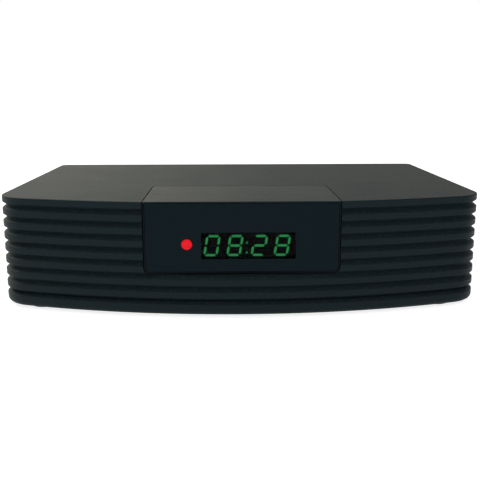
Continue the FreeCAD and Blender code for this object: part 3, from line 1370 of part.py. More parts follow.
def switch_leads():
    """Two flat leads from the switch blades, bent down once to the header on the main board."""
    start_y, drop_y = lead_places()
    top = BOARD_Z + LEAD_HEADER_HEIGHT
    turn_z = SWITCH_Z - LEAD_BEND_R
    half = LEAD_THICK / 2
    inner = LEAD_BEND_R - half
    outer = LEAD_BEND_R + half
    lean = math.sqrt(0.5)

    def at(radius, angle_y, angle_z):
        return Vec(0, start_y - radius * angle_y, turn_z + radius * angle_z)

    edges = [
        Part.Arc(at(outer, 0, 1), at(outer, lean, lean), at(outer, 1, 0)).toShape(),
        Part.LineSegment(at(outer, 1, 0), Vec(0, drop_y - half, top)).toShape(),
        Part.LineSegment(Vec(0, drop_y - half, top), Vec(0, drop_y + half, top)).toShape(),
        Part.LineSegment(Vec(0, drop_y + half, top), at(inner, 1, 0)).toShape(),
        Part.Arc(at(inner, 1, 0), at(inner, lean, lean), at(inner, 0, 1)).toShape(),
        Part.LineSegment(at(inner, 0, 1), at(outer, 0, 1)).toShape(),
    ]
    strip = Part.Face(Part.Wire(edges)).extrude(X_AXIS * LEAD_WIDTH)
    leads = []
    for sign in (-1, 1):
        lead = strip.copy()
        lead.translate(X_AXIS * (SWITCH_X + sign * BLADE_X - LEAD_WIDTH / 2))
        leads.append(lead)
    return Part.makeCompound(leads)


def lead_header():
    """Header on the main board that takes the switch leads."""
    drop_y = lead_places()[1]
    half = LEAD_HEADER_DEPTH / 2
    top = BOARD_Z + LEAD_HEADER_HEIGHT
    return wide_block(SWITCH_X, LEAD_HEADER_WIDTH, drop_y - half, drop_y + half, BOARD_Z, top)


def rear_openings():
    """Holes through the rear panel, each one larger than its socket by the hole gap."""
    gap = REAR_HOLE_GAP
    y0 = PANEL_IN_Y - PAST
    y1 = PANEL_OUT_Y + PAST
    through = y1 - y0

    def square(x, width, low, height):
        return wide_block(x, width + 2 * gap, y0, y1, low - gap, low + height + gap)

    holes = [rod(SOCKET_R + gap, x, y0, SOCKET_Z, through, Y_AXIS) for x in SOCKET_X]
    holes.append(square(DATA_X, DATA_WIDTH, BOARD_Z, DATA_HEIGHT))
    holes.append(square(NETWORK_X, NETWORK_WIDTH, BOARD_Z, NETWORK_HEIGHT))
    holes.append(square(VIDEO_X, VIDEO_WIDTH, BOARD_Z, VIDEO_HEIGHT))
    holes.append(rod(SOUND_NOSE_R + gap, SOUND_X, y0, BOARD_Z + SOUND_RISE, through, Y_AXIS))
    holes.append(square(OPTICAL_X, OPTICAL_WIDTH, BOARD_Z, OPTICAL_HEIGHT))
    holes.append(square(POWER_X, POWER_WIDTH, BOARD_Z, POWER_HEIGHT))
    low = SWITCH_Z - SWITCH_BODY_HEIGHT / 2
    holes.append(square(SWITCH_X, SWITCH_BODY_WIDTH, low, SWITCH_BODY_HEIGHT))
    return holes


def rear_vents():
    """Row of upright slots near the top of the rear panel."""
    top = DECK_Z - REAR_VENT_DROP
    slots = []
    for index in range(REAR_VENT_COUNT):
        x = REAR_VENT_X + (index - (REAR_VENT_COUNT - 1) / 2) * REAR_VENT_PITCH
        y0 = PANEL_IN_Y - PAST
        slots.append(wide_block(x, REAR_VENT_WIDTH, y0, PANEL_OUT_Y + PAST, top - REAR_VENT_HEIGHT, top))
    return slots


def rear_panel():
    """Flat panel that carries the sockets' openings, let into the base's slot."""
    half = SIDE_X - COVER_INSET - REAR_SIDE_GAP
    plate = block(-half, half, PANEL_IN_Y, PANEL_OUT_Y, FLOOR_Z, DECK_UNDER_Z - REAR_TOP_GAP)
    return plate.cut(rear_openings() + rear_vents())


# Feet and screws


def rubber_foot(x, y):
    """Round rubber foot glued to the underside."""
    return rod(FOOT_R, x, y, 0, BASE_Z)


def case_screw(x, y):
    """Screw from below through the base into a cover post."""
    seat = BASE_Z + COUNTERBORE_DEPTH
    shank = SPLIT_Z - seat + SCREW_REACH
    return screw(x, y, seat, Z_AXIS, SCREW_SHANK_R, shank, SCREW_HEAD_R, SCREW_HEAD_THICK)


def hood_screw(x):
    """Washer-head screw from below through a shelf ear into the hood's boss."""
    seat = DECK_UNDER_Z - EAR_THICK
    shank = EAR_THICK + DECK_THICK - HOOD_BORE_TOP - HOOD_SCREW_END_GAP
    return screw(x, HOOD_BOSS_Y, seat, Z_AXIS, HOOD_SCREW_R, shank, HOOD_SCREW_HEAD_R, HOOD_SCREW_HEAD_THICK)


def board_screw(x, y):
    """Screw down through the main board into a standoff."""
    shank = BOARD_THICK + BOARD_SCREW_REACH
    away = Z_AXIS * -1
    return screw(x, y, BOARD_Z, away, BOARD_SCREW_R, shank, BOARD_SCREW_HEAD_R, BOARD_SCREW_HEAD_THICK)


def display_board_screw(x, z):
    """Screw forward through the display board into a hood boss."""
    shank = BOARD_THICK + DISPLAY_SCREW_REACH
    away = Y_AXIS * -1
    head = (DISPLAY_SCREW_HEAD_R, DISPLAY_SCREW_HEAD_THICK)
    return screw(x, DISPLAY_BOARD_BACK_Y, z, away, DISPLAY_SCREW_R, shank, *head)


def every_part():
    """Name and solid of each piece."""
    outside = ribbed_block()
    lit, dark = segment_nodes()
    group = Part.makeCompound
    yield "top_cover", top_cover(outside)
    yield "bottom_case", bottom_case(outside)
    yield "display_hood", display_hood()
    yield "front_panel", front_panel()
    yield "display_filter", display_filter()
    yield "standby_lamp", standby_lamp()
    yield "display_module", display_module()
    yield "lit_segments", lit
    yield "unlit_segments", dark
    yield "display_board", display_board()
    yield "ir_receiver", ir_receiver()
    yield "standby_led", standby_led()
    yield "rear_panel", rear_panel()
    yield "rubber_feet", group([rubber_foot(x, y) for x, y in foot_places()])
    yield "case_screws", group([case_screw(x, y) for x, y in post_places()])
    yield "hood_screws", group([hood_screw(x) for x in (-HOOD_BOSS_X, HOOD_BOSS_X)])
    yield "board_screws", group([board_screw(x, y) for x, y in board_places()])
    yield "display_board_screws", group([display_board_screw(x, z) for x, z in display_boss_places()])
    yield "main_board", main_board()
    yield "soc_chip", on_board(CHIP_AT, (CHIP_SIDE, CHIP_SIDE, CHIP_THICK))
    yield "thermal_pad", thermal_pad()
    yield "heat_sink", heat_sink()
    yield "memory_chips", group([on_board(at, MEMORY_SIZE) for at in MEMORY_AT])
    yield "electrolytic_caps", group([capacitor(*at) for at in CAPACITOR_AT])
    yield "power_inductors", group([on_board(at, INDUCTOR_SIZE) for at in INDUCTOR_AT])
    yield "crystal", crystal()
    yield "ethernet_transformer", on_board(TRANSFORMER_AT, TRANSFORMER_SIZE)
    yield "cable_headers", cable_headers()
    yield "ribbon_cable", ribbon_cable()
    yield "tuner_can", tuner_can()
    yield "tuner_lid", tuner_lid()
    yield "lnb_sockets", group([lnb_socket(x) for x in SOCKET_X])
    yield "lnb_insulators", group([lnb_insulator(x) for x in SOCKET_X])
    yield "lnb_nuts", group([lnb_nut(x) for x in SOCKET_X])
    yield "hdmi_shell", hdmi_shell()
    yield "hdmi_tongue", hdmi_tongue()
    yield "usb_shell", usb_shell()
    yield "usb_tongue", usb_tongue()
    yield "ethernet_jack", ethernet_jack()
    yield "ethernet_contacts", ethernet_contacts()
    yield "av_jack", av_jack()
    yield "optical_socket", optical_socket()
    yield "optical_shutter", optical_shutter()
    yield "dc_jack", dc_jack()
    yield "dc_pin", dc_pin()
    yield "power_switch_frame", power_switch_frame()
    yield "power_rocker", power_rocker()
    yield "switch_blades", switch_blades()
    yield "switch_leads", switch_leads()
    yield "lead_header", lead_header()


def main():
    os.makedirs("parts", exist_ok=True)
    for name, shape in every_part():
        shape.exportStep(os.path.join("parts", name + ".step"))
        state = "closed" if shape.isValid() else "not valid"
        print(name, len(shape.Solids), "solids,", round(shape.Volume, 1), "cubic mm,", state)


main()
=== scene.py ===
"""Finished surfaces of a set-top receiver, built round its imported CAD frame."""

import json
import math

import bmesh
import bpy
import numpy as np
from bpy.props import FloatProperty, FloatVectorProperty, IntProperty, PointerProperty
from bpy.types import Operator, Panel, PropertyGroup
from mathutils import Matrix, Vector


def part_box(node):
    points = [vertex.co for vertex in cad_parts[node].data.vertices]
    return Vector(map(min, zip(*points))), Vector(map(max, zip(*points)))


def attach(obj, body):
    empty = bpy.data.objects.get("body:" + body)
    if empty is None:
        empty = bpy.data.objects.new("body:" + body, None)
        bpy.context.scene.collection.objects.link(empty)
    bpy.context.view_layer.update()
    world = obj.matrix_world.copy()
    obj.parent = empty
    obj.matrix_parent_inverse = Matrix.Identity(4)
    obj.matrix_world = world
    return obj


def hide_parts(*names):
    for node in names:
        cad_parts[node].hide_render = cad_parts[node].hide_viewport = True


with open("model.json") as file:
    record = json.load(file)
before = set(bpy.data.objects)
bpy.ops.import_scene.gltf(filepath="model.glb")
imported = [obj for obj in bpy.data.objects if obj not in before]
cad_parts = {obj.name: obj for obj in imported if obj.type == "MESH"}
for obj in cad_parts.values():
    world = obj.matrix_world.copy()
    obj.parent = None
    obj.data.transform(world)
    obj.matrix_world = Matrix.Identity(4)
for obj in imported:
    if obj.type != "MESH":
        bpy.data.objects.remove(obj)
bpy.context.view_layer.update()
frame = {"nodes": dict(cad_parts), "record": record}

bl_info = {
    "name": "Set-top receiver",
    "version": (1, 0, 0),
    "blender": (4, 5, 0),
    "location": "3D View > Sidebar > Receiver",
    "description": "Dresses the packed frame of a set-top receiver",
    "category": "Add Mesh",
}

MM = 0.001
PAST = 1.0 * MM  # how far a cutting form runs past the face that it cuts
SHARP = math.radians(38)  # edges that turn more than this stay crisp
CORE = 0.02 * MM  # radius left at the end of a turned form, which its cap closes
PANEL_ROOM = 8 * MM  # clear depth in front of the rear panel

# Slot of each CAD node, from the record
SLOTS = {part["node"]: part["material_slot"] for part in frame["record"]["subparts"]}

# Places read from the frame
COVER_LOW, COVER_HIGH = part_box("top_cover")
HOOD_LOW, HOOD_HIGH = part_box("display_hood")
GLOSS_LOW, GLOSS_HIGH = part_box("front_panel")
LAMP_LOW, LAMP_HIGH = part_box("standby_lamp")
SIDE = COVER_HIGH.x
FRONT = COVER_LOW.y
BACK = COVER_HIGH.y
DECK = COVER_HIGH.z
SPLIT = COVER_LOW.z
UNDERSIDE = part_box("bottom_case")[0].z
HOOD_RIM = HOOD_HIGH.x - GLOSS_HIGH.x

# Places that the source of the solids names, in the same frame
CASE_SCREWS = [(side * 98.5 * MM, y) for side in (-1, 1) for y in (FRONT + 42 * MM, BACK - 16 * MM)]
BOARD_SCREWS = [(-84 * MM, -29.5 * MM), (84 * MM, -29.5 * MM), (-84 * MM, 57.5 * MM), (84 * MM, 23.5 * MM)]
HOOD_SCREWS = [(-30 * MM, -36 * MM), (30 * MM, -36 * MM)]


# Outlines and forms


def rounded_line(points, radii, steps=4):
    """Points of a line whose inner corners are arcs tangent to both runs at each corner."""
    points = np.asarray(points, float)
    made = [points[:1]]
    for before, corner, after, radius in zip(points, points[1:], points[2:], radii[1:]):
        if radius <= 0:
            made.append(corner[None])
            continue
        back = (before - corner) / np.linalg.norm(before - corner)
        onward = (after - corner) / np.linalg.norm(after - corner)
        half = math.acos(np.clip(back @ onward, -1, 1)) / 2
        middle = back + onward
        centre = corner + middle / np.linalg.norm(middle) * radius / math.sin(half)
        run = radius / math.tan(half)
        start = corner + back * run - centre
        end = corner + onward * run - centre
        turn = math.pi - 2 * half
        share = np.linspace(0, 1, steps + 1)[:, None]
        arc = np.sin((1 - share) * turn) * start + np.sin(share * turn) * end
        made.append(centre + arc / math.sin(turn))
    made.append(points[-1:])
    return np.concatenate(made)


def rounded_rectangle(x0, x1, y0, y1, radii, steps=6):
    """Closed outline of a rectangle, one radius for each corner from the lower left anticlockwise."""
    signs = ((-1, -1), (1, -1), (1, 1), (-1, 1))
    corners = ((x0, y0), (x1, y0), (x1, y1), (x0, y1))
    made = []
    for index, ((sx, sy), (x, y), radius) in enumerate(zip(signs, corners, radii)):
        angle = math.pi + index * math.pi / 2 + np.linspace(0, math.pi / 2, steps + 1 if radius else 1)
        centre = np.array((x - sx * radius, y - sy * radius))
        made.append(centre + radius * np.stack((np.cos(angle), np.sin(angle)), 1))
    return np.concatenate(made)


def laid(flat, level, plane):
    """Points of a flat outline set in a plane named by its two axes, at a level on the third."""
    flat = np.asarray(flat, float)
    solid = np.empty((len(flat), 3))
    first, second = ("xyz".index(axis) for axis in plane)
    solid[:, first] = flat[:, 0]
    solid[:, second] = flat[:, 1]
    solid[:, 3 - first - second] = level
    return solid


def grid_form(grid, capped=True, wrapped=True):
    """Points and faces of a grid of rows, closed round each row, with its end rows capped."""
    rows, count = grid.shape[:2]
    index = np.arange(rows * count).reshape(rows, count)
    across = np.roll(index, -1, 1) if wrapped else index[:, 1:]
    here = index if wrapped else index[:, :-1]
    faces = np.stack((here[:-1], across[:-1], across[1:], here[1:]), -1).reshape(-1, 4).tolist()
    if capped:
        faces += [index[0][::-1].tolist(), index[-1].tolist()]
    return grid.reshape(-1, 3), faces


def prism(flat, low, high, plane="xy"):
    """Form of a flat outline carried straight from one level to another."""
    return grid_form(np.stack((laid(flat, low, plane), laid(flat, high, plane))))


def box_form(x0, x1, y0, y1, z0, z1):
    """Form of a plain box, used to cut and to build larger forms."""
    return prism(((x0, y0), (x1, y0), (x1, y1), (x0, y1)), z0, z1)


def round_angles(count=48):
    """Angles of the points round a turned form."""
    return np.linspace(0, 2 * math.pi, count, endpoint=False)


def lathe(radius, along, centre, axis="z", capped=True):
    """Form whose radius and height are given for every row and angle, about an axis through a centre."""
    angle = round_angles(radius.shape[1])
    across = radius * np.cos(angle)
    aside = radius * np.sin(angle)
    order = (across, along, aside) if axis == "y" else (across, aside, along)
    return grid_form(np.stack(order, -1) + np.asarray(centre), capped)


def rings(rows, count=48):
    """Radii and heights of the rows of a turned form, each radius one number or one for every angle."""
    return [np.stack([np.broadcast_to(value, count) for value in column]) for column in zip(*rows)]


def stacked(*parts):
    """Arrays of several parts set end to end, the first arrays together, then the second."""
    return [np.concatenate(column) for column in zip(*parts)]


def turned(profile, centre, axis="z", count=48):
    """Form of a profile of radius and height turned about an axis through a centre."""
    return lathe(*rings(profile, count), centre, axis)


def thread(radius, depth, pitch, start, end, count=48):
    """Radii and heights of the rows of a helical thread.

    The radius falls from the crest by a share of the depth, a raised cosine of the turns made, which are
    the height over the pitch less the angle's share of a turn. The share fades in and out at the ends.
    """
    steps = max(4, int(round(abs(end - start) / pitch * 6)))
    along = np.linspace(start, end, steps + 1)[:, None]
    turns = along / pitch - round_angles(count) / (2 * math.pi)
    fade = np.clip(np.minimum(abs(along - start), abs(end - along)) / pitch, 0, 1)
    radii = radius - depth * fade * (0.5 - 0.5 * np.cos(2 * math.pi * turns))
    return radii, np.broadcast_to(along, radii.shape)


def cross_radius(reach, count):
    """Radius of a plus sign's outline at each angle: the nearer of an arm's end and an arm's side."""
    fold = (round_angles(count) + math.pi / 4) % (math.pi / 2) - math.pi / 4
    arm = reach * math.tan(math.pi / 8)
    return np.minimum(reach / np.cos(fold), arm / np.maximum(abs(np.sin(fold)), 1e-6))


def screw_form(centre, head, shank, seat, tip, axis="z", count=32):
    """Pan-head screw: a domed head with a cross recess at the start of its axis, and a threaded shank.

    The head and the shank are radii. The seat and the tip are heights from the head's crown.
    """
    way = 1 if seat > 0 else -1
    star = cross_radius(0.55 * head, count)
    deep = way * 0.32 * abs(seat) + way * 0.25 * head
    crown = [(0.01 * head, deep), (0.55 * star, deep), (star, way * 0.02 * head)]
    crown += [(0.7 * head, way * 0.05 * head), (0.9 * head, 0.25 * seat), (head, 0.55 * seat)]
    crown += [(head, seat), (shank, seat)]
    cut = thread(shank, 0.16 * shank, 1.1 * MM, seat * 1.15, tip - way * shank * 0.8, count)
    rows = stacked(rings(crown, count), cut, rings([(0.35 * shank, tip)], count))
    return lathe(*rows, centre, axis)


def joined(forms):
    """One form of several."""
    start = 0
    points = []
    faces = []
    for form_points, form_faces in forms:
        points.append(form_points)
        faces += [[corner + start for corner in face] for face in form_faces]
        start += len(form_points)
    return np.concatenate(points), faces


# Meshes


def mended(mesh):
    """Mesh with its doubles merged and its faces turned outwards."""
    work = bmesh.new()
    work.from_mesh(mesh)
    bmesh.ops.remove_doubles(work, verts=work.verts, dist=2e-7)
    bmesh.ops.recalc_face_normals(work, faces=work.faces)
    work.to_mesh(mesh)
    work.free()
    return mesh


def linked(name, data):
    """Object of a mesh, a lamp or a camera, in the scene."""
    piece = bpy.data.objects.new(name, data)
    bpy.context.scene.collection.objects.link(piece)
    return piece


def new_object(name, form):
    """Object of a form, in the scene."""
    mesh = bpy.data.meshes.new(name)
    mesh.from_pydata(form[0].tolist(), [], form[1])
    return linked(name, mended(mesh))


def settled(piece):
    """Piece with its modifiers made part of its mesh."""
    bpy.context.view_layer.update()
    seen = piece.evaluated_get(bpy.context.evaluated_depsgraph_get())
    mesh = bpy.data.meshes.new_from_object(seen)
    piece.modifiers.clear()
    piece.data = mesh
    mesh.name = piece.name
    return piece


def carved(piece, forms, operation="DIFFERENCE"):
    """Piece with each form cut out of it, or added to it."""
    tools = [new_object("tool", form) for form in forms]
    for tool in tools:
        change = piece.modifiers.new("carve", "BOOLEAN")
        change.operation = operation
        change.solver = "EXACT"
        change.object = tool
    settled(piece)
    for tool in tools:
        bpy.data.objects.remove(tool)
    return piece


def softened(piece, width, segments=2):
    """Piece with its crisp edges rounded by a small bevel."""
    bevel = piece.modifiers.new("soften", "BEVEL")
    bevel.width = width
    bevel.segments = segments
    bevel.limit_method = "ANGLE"
    bevel.angle_limit = SHARP
    return settled(piece)


def finished(piece, node, body="root"):
    """Piece that stands for a CAD node: shaded, given the node's finish, and set on its body."""
    mesh = piece.data
    mesh.polygons.foreach_set("use_smooth", np.ones(len(mesh.polygons), bool))
    mesh.set_sharp_from_angle(angle=SHARP)
    mesh.materials.clear()
    mesh.materials.append(FINISHES[SLOTS[node]])
    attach(piece, body)
    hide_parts(node)
    even = piece.modifiers.new("even", "WEIGHTED_NORMAL")
    even.keep_sharp = True
    even.weight = 100
    return piece


def dressed(node, name, *forms):
    """Piece made of forms that stands for a CAD node."""
    return finished(new_object(name, joined(forms)), node)


def refined(node, name, width, body):
    """Copy of a CAD node with its loose triangles joined into whole faces and its edges softened."""
    mesh = frame["nodes"][node].data.copy()
    work = bmesh.new()
    work.from_mesh(mesh)
    bmesh.ops.remove_doubles(work, verts=work.verts, dist=2e-6)
    flat = math.radians(0.3)
    bmesh.ops.dissolve_limit(work, angle_limit=flat, verts=work.verts, edges=work.edges)
    work.to_mesh(mesh)
    work.free()
    for layer in list(mesh.attributes):
        if layer.name == "custom_normal":
            mesh.attributes.remove(layer)
    return finished(softened(linked(name, mesh), width), node, body)


# Plan of the case


def case_plan(case):
    """Outer outline of the case as points, outward normals, corner radii and square corner steps.

    The front is an arc of a large circle, tangent to a small arc at each front corner. The sides are
    straight, and a quarter circle joins each of them to the back.
    """
    bow_r = (SIDE**2 + case.bow**2) / (2 * case.bow)
    bow_y = FRONT + bow_r
    corner_x = SIDE - case.front_corner
    corner_y = bow_y - math.sqrt((bow_r - case.front_corner) ** 2 - corner_x**2)
    meet = math.atan2(corner_y - bow_y, corner_x)

    def arc(x, y, radius, start, end, count):
        angle = np.linspace(start, end, count)
        normal = np.stack((np.cos(angle), np.sin(angle)), 1)
        return np.array((x, y)) + radius * normal, normal

    def straight(start, end, normal, count):
        share = np.linspace(0, 1, count + 2)[1:-1, None]
        points = np.array(start) * (1 - share) + np.array(end) * share
        return points, np.broadcast_to(np.array(normal, float), points.shape)

    back_r = case.back_corner
    front = arc(0, bow_y, bow_r, -math.pi / 2, meet, 70)
    corner = arc(corner_x, corner_y, case.front_corner, meet, 0, 18)
    side = straight((SIDE, corner_y), (SIDE, BACK - back_r), (1, 0), 16)
    back_corner = arc(SIDE - back_r, BACK - back_r, back_r, 0, math.pi / 2, 8)
    back = straight((SIDE - back_r, BACK), (0, BACK), (0, 1), 8)
    runs = [front, (corner[0][1:], corner[1][1:]), side, back_corner, back]
    points, normals = stacked(*runs)
    at_back = np.concatenate([np.full(len(run[0]), run is back_corner) for run in runs])
    limit = np.where(at_back, back_r, 1.0)
    step = np.where(at_back[:, None], np.array((1.0, 1.0)), normals)
    flip = np.array((-1.0, 1.0))
    half = (points, normals, limit, step)
    return stacked(half, [part[1:][::-1] * (flip if part.ndim > 1 else 1) for part in half])


def carried(plan, profile):
    """Form of a profile of inset and height carried round the plan.

    Each row is the plan drawn in by the row's inset along its normals. Past a back corner's radius the
    corner stays square.
    """
    points, normals, limit, step = plan
    inset = profile[:, 0][:, None]
    round_part = np.minimum(inset, limit)[..., None]
    square_part = np.maximum(inset - limit, 0)[..., None]
    flat = points - normals * round_part - step * square_part
    height = np.broadcast_to(profile[:, 1][:, None, None], flat.shape[:2] + (1,))
    return grid_form(np.concatenate((flat, height), -1))


def groove_heights(case):
    """Height of the middle of each groove, from the joint of the case halves up."""
    return np.linspace(SPLIT, DECK - case.deck_band, case.grooves)


def groove_line(case, height):
    """Corners of one groove from its upper nose edge down, with their radii."""
    mouth = ((DECK - case.deck_band - SPLIT) / (case.grooves - 1) - case.nose) / 2
    corners = [(0, height + mouth), (case.groove_depth, height), (0, height - mouth)]
    return corners, [case.nose_round, case.groove_round, case.nose_round]


# Settings


def length(name, description, size):
    """Length setting with a default in millimetres."""
    return FloatProperty(name=name, description=description, default=size * MM, unit="LENGTH")


def tint(name, description, colour):
    """Colour setting."""
    return FloatVectorProperty(name=name, description=description, default=colour, subtype="COLOR")


class ReceiverCase(PropertyGroup):
    """Sizes of the case that the frame's boxes don't give."""

    bow: length("Bow", "Bulge of the front", 19.7)
    front_corner: length("Front corner", "Radius of a front corner", 16)
    back_corner: length("Back corner", "Radius of a back corner", 4)
    deck_round: length("Deck edge", "Radius of the edge of the deck", 0.6)
    deck_band: length("Deck band", "Deck to the first groove", 4.3)
    deck_thick: length("Deck wall", "Thickness of the deck", 2.2)
    grooves: IntProperty(name="Grooves", description="Grooves in the wall", default=8, subtype="UNSIGNED")
    groove_depth: length("Groove depth", "Depth of a groove", 2)
    groove_round: length("Groove floor", "Radius of a groove's floor", 0.25)
    nose: length("Rib nose", "Height of a rib's nose", 2.5)
    nose_round: length("Nose edge", "Radius of a rib's edges", 0.4)
    inner: length("Inner wall", "Outside to the inner face", 3.8)
    base_round: length("Base edge", "Radius round the underside", 2.4)
    seam: length("Hood seam", "Gap round the hood", 0.4)
    lip: length("Rear lip", "Lip behind the panel", 1.6)


class ReceiverFinish(PropertyGroup):
    """Colours of the parts that show."""

    case: tint("Case", "Satin plastic", (0.012, 0.024, 0.029))
    panel: tint("Front panel", "Glossy panel", (0.0015, 0.0035, 0.0055))
    lamp: tint("Lamp", "Standby lamp", (0.78, 0.006, 0.016))
    readout: tint("Readout", "Lit bars", (0.03, 0.36, 0.1))


class ReceiverReadout(PropertyGroup):
    """Sizes of the readout's bars."""

    left: length("Left", "Foot of the first digit", -16.75)
    width: length("Width", "Width of a digit", 6.4)
    height: length("Height", "Height of a digit", 9.45)
    pitch: length("Pitch", "Digit to digit", 9.8)
    colon_room: length("Colon room", "Extra room for the colon", 0.6)
    stroke: length("Stroke", "Breadth of a bar", 0.95)
    gap: length("Gap", "A bar's end to the corner", 0.38)
    lean: FloatProperty(
        name="Lean", description="Slant of the digits", default=math.radians(9.5), unit="ROTATION"
    )


class ReceiverStage(PropertyGroup):
    """Strengths of the lamps and of the surroundings."""

    key: FloatProperty(name="Key", description="Power of the key lamp", default=5.4, subtype="POWER")
    fill: FloatProperty(name="Fill", description="Power of the fill lamp", default=2.6, subtype="POWER")
    sky: FloatProperty(name="Sky", description="Strength of the surroundings", default=0.26, subtype="FACTOR")
    lens: FloatProperty(name="Lens", description="Focal length", default=54.16, subtype="DISTANCE_CAMERA")


# Node groups


def new_group(name, inputs, outputs):
    """Empty node group with inputs of given defaults and named outputs, all of them values."""
    group = bpy.data.node_groups.new(name, "ShaderNodeTree")
    for label, value in inputs.items():
        socket = group.interface.new_socket(label, in_out="INPUT", socket_type="NodeSocketFloat")
        socket.default_value = value
    for label in outputs:
        group.interface.new_socket(label, in_out="OUTPUT", socket_type="NodeSocketFloat")
    return group, group.nodes.new("NodeGroupInput"), group.nodes.new("NodeGroupOutput")


def add(tree, kind, links=None, **settings):
    """New node with its settings, and its inputs set or linked."""
    node = tree.nodes.new(kind)
    for key, value in settings.items():
        setattr(node, key, value)
    for key, value in (links or {}).items():
        if isinstance(value, bpy.types.NodeSocket):
            led(node, key, value)
        else:
            node.inputs[key].default_value = value
    return node


def led(node, label, source):
    """Link of a socket to an input of a node in the same tree."""
    node.id_data.links.new(source, node.inputs[label])


def sum_of(tree, first, second, operation="ADD"):
    """Output of a math node on two sockets or numbers."""
    return add(tree, "ShaderNodeMath", {0: first, 1: second}, operation=operation).outputs[0]


def ramp(tree, value, low, high, start=0.0, end=1.0, **settings):
    """Output that goes from a start to an end while a value goes from low to high."""
    links = {0: value, 1: low, 2: high, 3: start, 4: end}
    return add(tree, "ShaderNodeMapRange", links, **settings).outputs[0]


def mixed(tree, share, first, second):
    """Colour between two colours by a share."""
    return add(tree, "ShaderNodeMix", {0: share, 6: first, 7: second}, data_type="RGBA").outputs[2]


def object_place(tree):
    """Object coordinates of the point shaded."""
    return add(tree, "ShaderNodeTexCoord").outputs["Object"]


def give_roughness(group, given, result, noise):
    """Roughness put out by a group: its base, moved to both sides by a noise's swing."""
    swing = sum_of(group, sum_of(group, noise, 0.5, "SUBTRACT"), given.outputs["Spread"], "MULTIPLY")
    led(result, "Roughness", sum_of(group, given.outputs["Rough"], swing))


def grain_group():
    """Moulded grain: fine pits for the height, and slow patches for the roughness."""
    inputs = {"Grain": 2500.0, "Patch": 30.0, "Rough": 0.45, "Spread": 0.08, "Depth": 0.5}
    group, given, result = new_group("moulded grain", inputs, ("Roughness", "Height"))
    place = object_place(group)
    pits = add(group, "ShaderNodeTexNoise", {"Vector": place, "Scale": given.outputs["Grain"], "Detail": 3.0})
    links = {"Vector": place, "Scale": given.outputs["Patch"], "Detail": 5.0}
    patch = add(group, "ShaderNodeTexNoise", links)
    give_roughness(group, given, result, patch.outputs[0])
    led(result, "Height", sum_of(group, pits.outputs[0], given.outputs["Depth"], "MULTIPLY"))
    return group


def handling_group():
    """Faint smears, and dust specks lying thicker on faces that look up, which also paint those faces lighter
    as painted top light.
    """
    group, given, result = new_group("handling", {"Smear": 0.3, "Dust": 0.2}, ("Mask", "Dust"))
    place = object_place(group)
    stretch = add(group, "ShaderNodeMapping", {"Vector": place, "Scale": (14.0, 40.0, 40.0)})
    smear = add(group, "ShaderNodeTexNoise", {"Vector": stretch.outputs[0], "Detail": 4.0, "Distortion": 0.8})
    mask = ramp(group, smear.outputs[0], 0.5, 0.75)
    led(result, "Mask", sum_of(group, mask, given.outputs["Smear"], "MULTIPLY"))
    normal = add(group, "ShaderNodeNewGeometry").outputs["Normal"]
    # Painted top light: faces that look up get a lighter colour in specks, partly dust and partly painted
    # light from above.
    facing = ramp(group, add(group, "ShaderNodeSeparateXYZ", {0: normal}).outputs["Z"], 0.2, 1.0)
    specks = add(group, "ShaderNodeTexNoise", {"Vector": place, "Scale": 900.0, "Detail": 6.0})
    dust_and_top_light_share = sum_of(group, facing, ramp(group, specks.outputs[0], 0.45, 0.8), "MULTIPLY")
    led(result, "Dust", sum_of(group, dust_and_top_light_share, given.outputs["Dust"], "MULTIPLY"))
    return group


def drawn_group():
    """Drawn metal: fine lines along one axis for roughness, height and tone."""
    inputs = {"Lines": 900.0, "Rough": 0.3, "Spread": 0.2}
    group, given, result = new_group("drawn metal", inputs, ("Roughness", "Height", "Tone"))
    stretch = add(group, "ShaderNodeMapping", {"Vector": object_place(group), "Scale": (1.0, 0.03, 1.0)})
    links = {"Vector": stretch.outputs[0], "Scale": given.outputs["Lines"], "Detail": 4.0}
    lines = add(group, "ShaderNodeTexNoise", links).outputs[0]
    give_roughness(group, given, result, lines)
    led(result, "Height", lines)
    led(result, "Tone", ramp(group, lines, 0.3, 0.7, 0.82, 1.0))
    return group


def track_group():
    """Board tracks: offset bars seen through the solder mask, as a mask."""
    group, given, result = new_group("board tracks", {"Pitch": 260.0}, ("Mask",))
    links = {"Vector": object_place(group), "Scale": given.outputs["Pitch"]}
    links |= {"Mortar Size": 0.035, "Brick Width": 2.4}
    bars = add(group, "ShaderNodeTexBrick", links, offset=0.37, squash=0.6)
    led(result, "Mask", bars.outputs["Fac"])
    return group


# Finishes

FINISHES = {}
GROUPS = {}


def shader(slot, **sockets):
    """New material of a slot: its node tree and its Principled shader with plain values set."""
    material = bpy.data.materials.new(slot)
    material.use_nodes = True
    FINISHES[slot] = material
    tree = material.node_tree
    surface = tree.nodes["Principled BSDF"]
    for label, value in sockets.items():
        surface.inputs[label.replace("_", " ")].default_value = value
    return tree, surface


def placed(tree, group, **values):
    """Node group placed in a material with its own values."""
    node = tree.nodes.new("ShaderNodeGroup")
    node.node_tree = GROUPS[group]
    for label, value in values.items():
        node.inputs[label].default_value = value
    return node


def opaque(colour):
    """Colour with full alpha."""
    return (*colour, 1.0)


def relief(tree, surface, height, strength, distance):
    """Bump from a height, led to the shader's normal."""
    bump = add(tree, "ShaderNodeBump", {"Strength": strength, "Distance": distance, "Height": height})
    led(surface, "Normal", bump.outputs[0])


